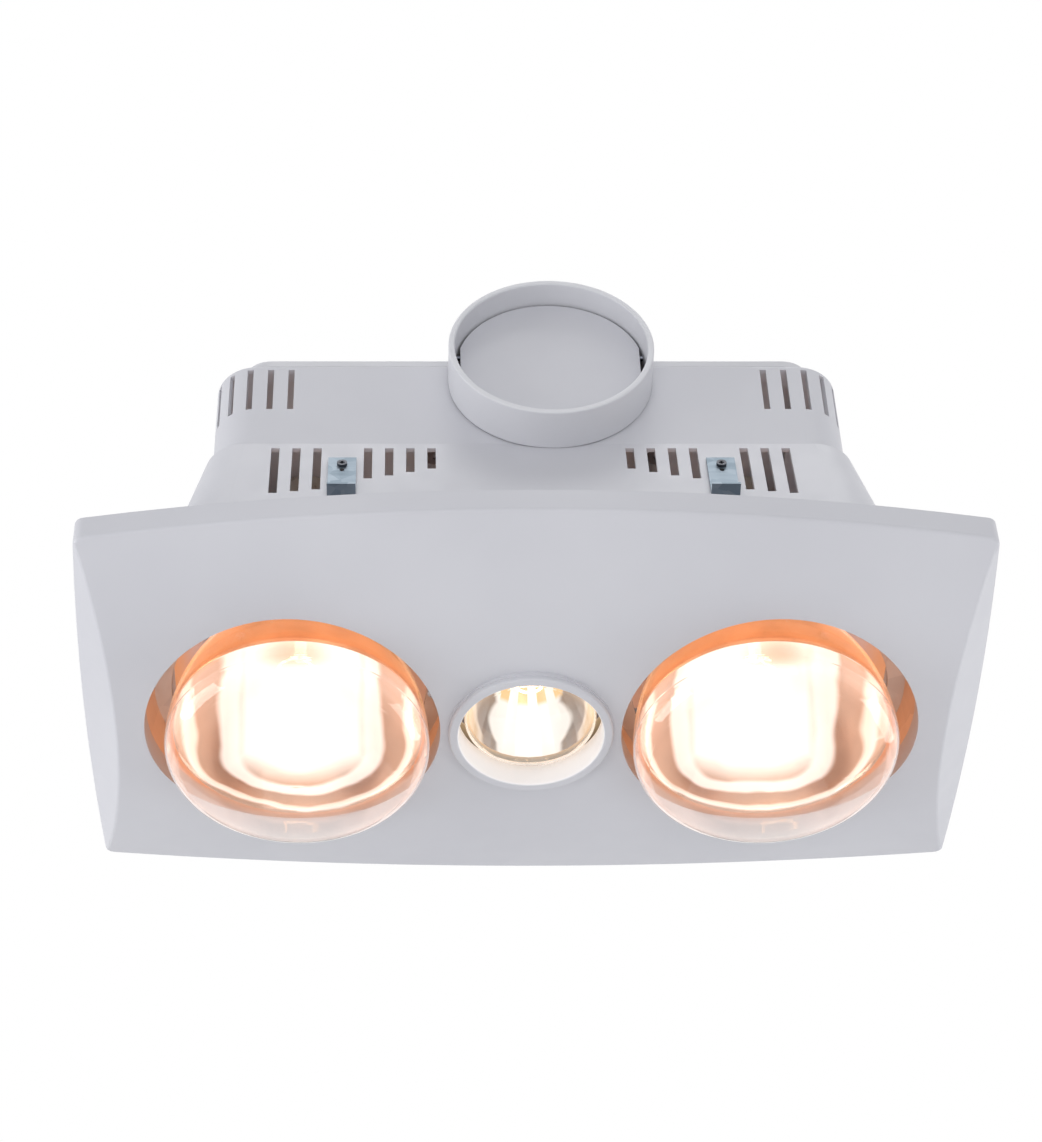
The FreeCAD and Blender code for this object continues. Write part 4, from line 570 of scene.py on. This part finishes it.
def makeSilverWithReflections(name, bowl, x):
    finish, tree, shader = newFinish(name)
    shader.inputs["Metallic"].default_value = 1.0
    place = objectPlace(tree)
    tones = {"dark": [c * silverNoise["shade"] for c in bowl["metal"]], "light": bowl["metal"]}
    cloud = noiseOn(tree, place, silverNoise["cloud"], silverNoise["cloudDetail"])
    tree.links.new(twoTone(tree, cloud, tones), shader.inputs["Base Color"])
    patch = noiseOn(tree, place, silverNoise["patch"], silverNoise["patchDetail"])
    tree.links.new(remap(tree, patch, silverNoise["rough"]), shader.inputs["Roughness"])
    # painted reflection: a bright core and bands of lamp light, given as glow on the bowl
    paintedCore = maths(tree, "MINIMUM", remap(tree, sideFrom(tree, x), falling, bowl["coreSide"]),
                 shareOf(tree, heightFrom(tree), bowl["coreHeight"]))
    paintedReflectionBands = ramp(tree, reflectionBandLevel(tree, place, bowl, x), bowl["paintedReflectionBands"])
    brightest = bowl["paintedReflectionBands"][-1][1]
    tree.links.new(mixColours(tree, paintedCore, paintedReflectionBands, brightest), shader.inputs["Emission Color"])
    shader.inputs["Emission Strength"].default_value = bowl["power"]
    ripple = noiseOn(tree, place, silverNoise["ripple"])
    bumpFrom(tree, shader, ripple, silverNoise["bump"], silverNoise["bumpDepth"])
    return finish


def addFacetGlints(finish, steps):
    # painted reflections: golden patches on every second facet near the neck
    tree, shader = opened(finish)
    glow = shader.inputs["Emission Color"]
    split = tree.nodes.new("ShaderNodeSeparateXYZ")
    tree.links.new(objectPlace(tree), split.inputs["Vector"])
    turn = maths(tree, "ARCTAN2", split.outputs["Y"], split.outputs["X"])
    facet = maths(tree, "FRACT", times(tree, turn, steps * facetGlints["half"] / math.tau))
    share = times(tree, maths(tree, "GREATER_THAN", facet, facetGlints["half"]),
                  remap(tree, heightFrom(tree), (0.0, facetGlints["share"]), facetGlints["from"]))
    tree.links.new(mixColours(tree, share, glow.links[0].from_socket, facetGlints["colour"]), glow)
    return finish


def makeCoating(name, look):
    finish, tree, shader = newFinish(name)
    shader.inputs["Metallic"].default_value = 1.0
    place = objectPlace(tree)
    cloud = noiseOn(tree, place, coatingNoise["cloud"], coatingNoise["cloudDetail"])
    tree.links.new(twoTone(tree, cloud, look), shader.inputs["Base Color"])
    patch = noiseOn(tree, place, coatingNoise["patch"])
    tree.links.new(remap(tree, patch, coatingNoise["rough"]), shader.inputs["Roughness"])
    return finish


def makeBowl(name, bowl, x, finishList, body):
    shape = spinOutline(offsetWall(bowl["outline"], bowl["wall"]), bowl["steps"])
    paintOutside(shape)
    bmesh.ops.translate(shape, vec=(x, 0, 0), verts=shape.verts)
    pieceFrom(shape, name, finishList, body, bowl["smooth"])


heatCoating = makeCoating("heat_coating", coating["heat"])
for side, x in lampX.items():
    lamp = "heat_lamp_" + side
    silver = makeSilverWithReflections("heat_silver_reflections_" + side, heatBowl, x)
    makeBowl(lamp + "_silvering", heatBowl, x, [silver, heatCoating], lamp)
lightSilver = addFacetGlints(makeSilverWithReflections("light_silver_reflections", lightBowl, 0), lightBowl["steps"])
lightCoating = makeCoating("light_coating", coating["light"])
makeBowl("light_lamp_reflector", lightBowl, 0, [lightSilver, lightCoating], "light_lamp")
print("lamp bowls made")


# studio: pale floor far below, soft light all round, white behind

floorLook = {"drop": -1.75, "size": 7.0, "sides": 64, "dark": (0.90, 0.90, 0.90),
             "light": (0.94, 0.94, 0.94), "cloud": 3.0, "stops": (0.2, 0.8), "rough": 0.7, "glow": 0.30}
worldLook = {"colour": (0.98, 0.985, 1.0), "light": 0.475, "seen": 1.0}
lamps = {
    "leftSoft": {"place": (-2.00, -0.21, -0.50), "size": 1.4, "power": 22.0},
    "frontSoft": {"place": (0.10, -1.95, -0.78), "size": 1.6, "power": 11.0},
    "rightSoft": {"place": (1.98, 0.50, -0.52), "size": 1.4, "power": 15.0},
    "rearSoft": {"place": (0.2, 1.6, -1.4), "size": 1.6, "power": 3.5},
    "topSoft": {"place": (0.2, -0.6, 2.2), "size": 1.8, "power": 16.0}}


def makeFloor():
    finish, tree, shader = newFinish("floor")
    cloud = noiseOn(tree, objectPlace(tree), floorLook["cloud"])
    tree.links.new(twoTone(tree, cloud, floorLook, floorLook["stops"]), shader.inputs["Base Color"])
    shader.inputs["Roughness"].default_value = floorLook["rough"]
    path = tree.nodes.new("ShaderNodeLightPath")
    setGlow(tree, shader, white, times(tree, path.outputs["Is Camera Ray"], floorLook["glow"]))
    shape = bmesh.new()
    bmesh.ops.create_circle(shape, cap_ends=True, segments=floorLook["sides"], radius=floorLook["size"])
    bmesh.ops.translate(shape, vec=(0, 0, floorLook["drop"]), verts=shape.verts)
    mesh = bpy.data.meshes.new("floor")
    shape.to_mesh(mesh)
    shape.free()
    mesh.materials.append(finish)
    floor = bpy.data.objects.new("floor", mesh)
    scene.collection.objects.link(floor)


def makeBackground(tree, colour, strength):
    node = tree.nodes.new("ShaderNodeBackground")
    node.inputs["Color"].default_value = (*colour, 1.0)
    node.inputs["Strength"].default_value = strength
    return node.outputs["Background"]


def makeWorld():
    world = bpy.data.worlds.new("studio")
    world.use_nodes = True
    scene.world = world
    tree = world.node_tree
    tree.nodes.clear()
    path = tree.nodes.new("ShaderNodeLightPath")
    seen = maths(tree, "MAXIMUM", path.outputs["Is Camera Ray"], path.outputs["Is Glossy Ray"])
    seen = maths(tree, "MAXIMUM", seen, path.outputs["Is Transmission Ray"])
    blend = tree.nodes.new("ShaderNodeMixShader")
    out = tree.nodes.new("ShaderNodeOutputWorld")
    tree.links.new(seen, blend.inputs["Fac"])
    tree.links.new(makeBackground(tree, worldLook["colour"], worldLook["light"]), blend.inputs[1])
    tree.links.new(makeBackground(tree, white, worldLook["seen"]), blend.inputs[2])
    tree.links.new(blend.outputs["Shader"], out.inputs["Surface"])


def makeLights():
    for name, look in lamps.items():
        data = bpy.data.lights.new(name, "AREA")
        data.size = look["size"]
        data.energy = look["power"]
        light = bpy.data.objects.new(name, data)
        light.location = look["place"]
        light.rotation_mode = "QUATERNION"
        light.rotation_quaternion = (-Vector(look["place"])).to_track_quat("-Z", "Y")
        scene.collection.objects.link(light)


# camera in front of the unit and below it, looking up at 45.7 degrees, as the photograph does

view = {"place": (-0.05583, -1.04621, -0.99309), "level": 90, "tilt": 45.66, "lens": 94.57,
        "shiftX": 0.0947, "sensor": 36.0, "far": 50.0}


def makeCamera():
    data = bpy.data.cameras.new("camera")
    data.sensor_width = view["sensor"]
    data.lens = view["lens"]
    data.shift_x = view["shiftX"]
    data.clip_end = view["far"]
    camera = bpy.data.objects.new("camera", data)
    camera.location = view["place"]
    camera.rotation_euler = (math.radians(view["level"] + view["tilt"]), 0, 0)
    scene.collection.objects.link(camera)
    scene.camera = camera


makeFloor()
makeWorld()
makeLights()
makeCamera()
print("studio made")
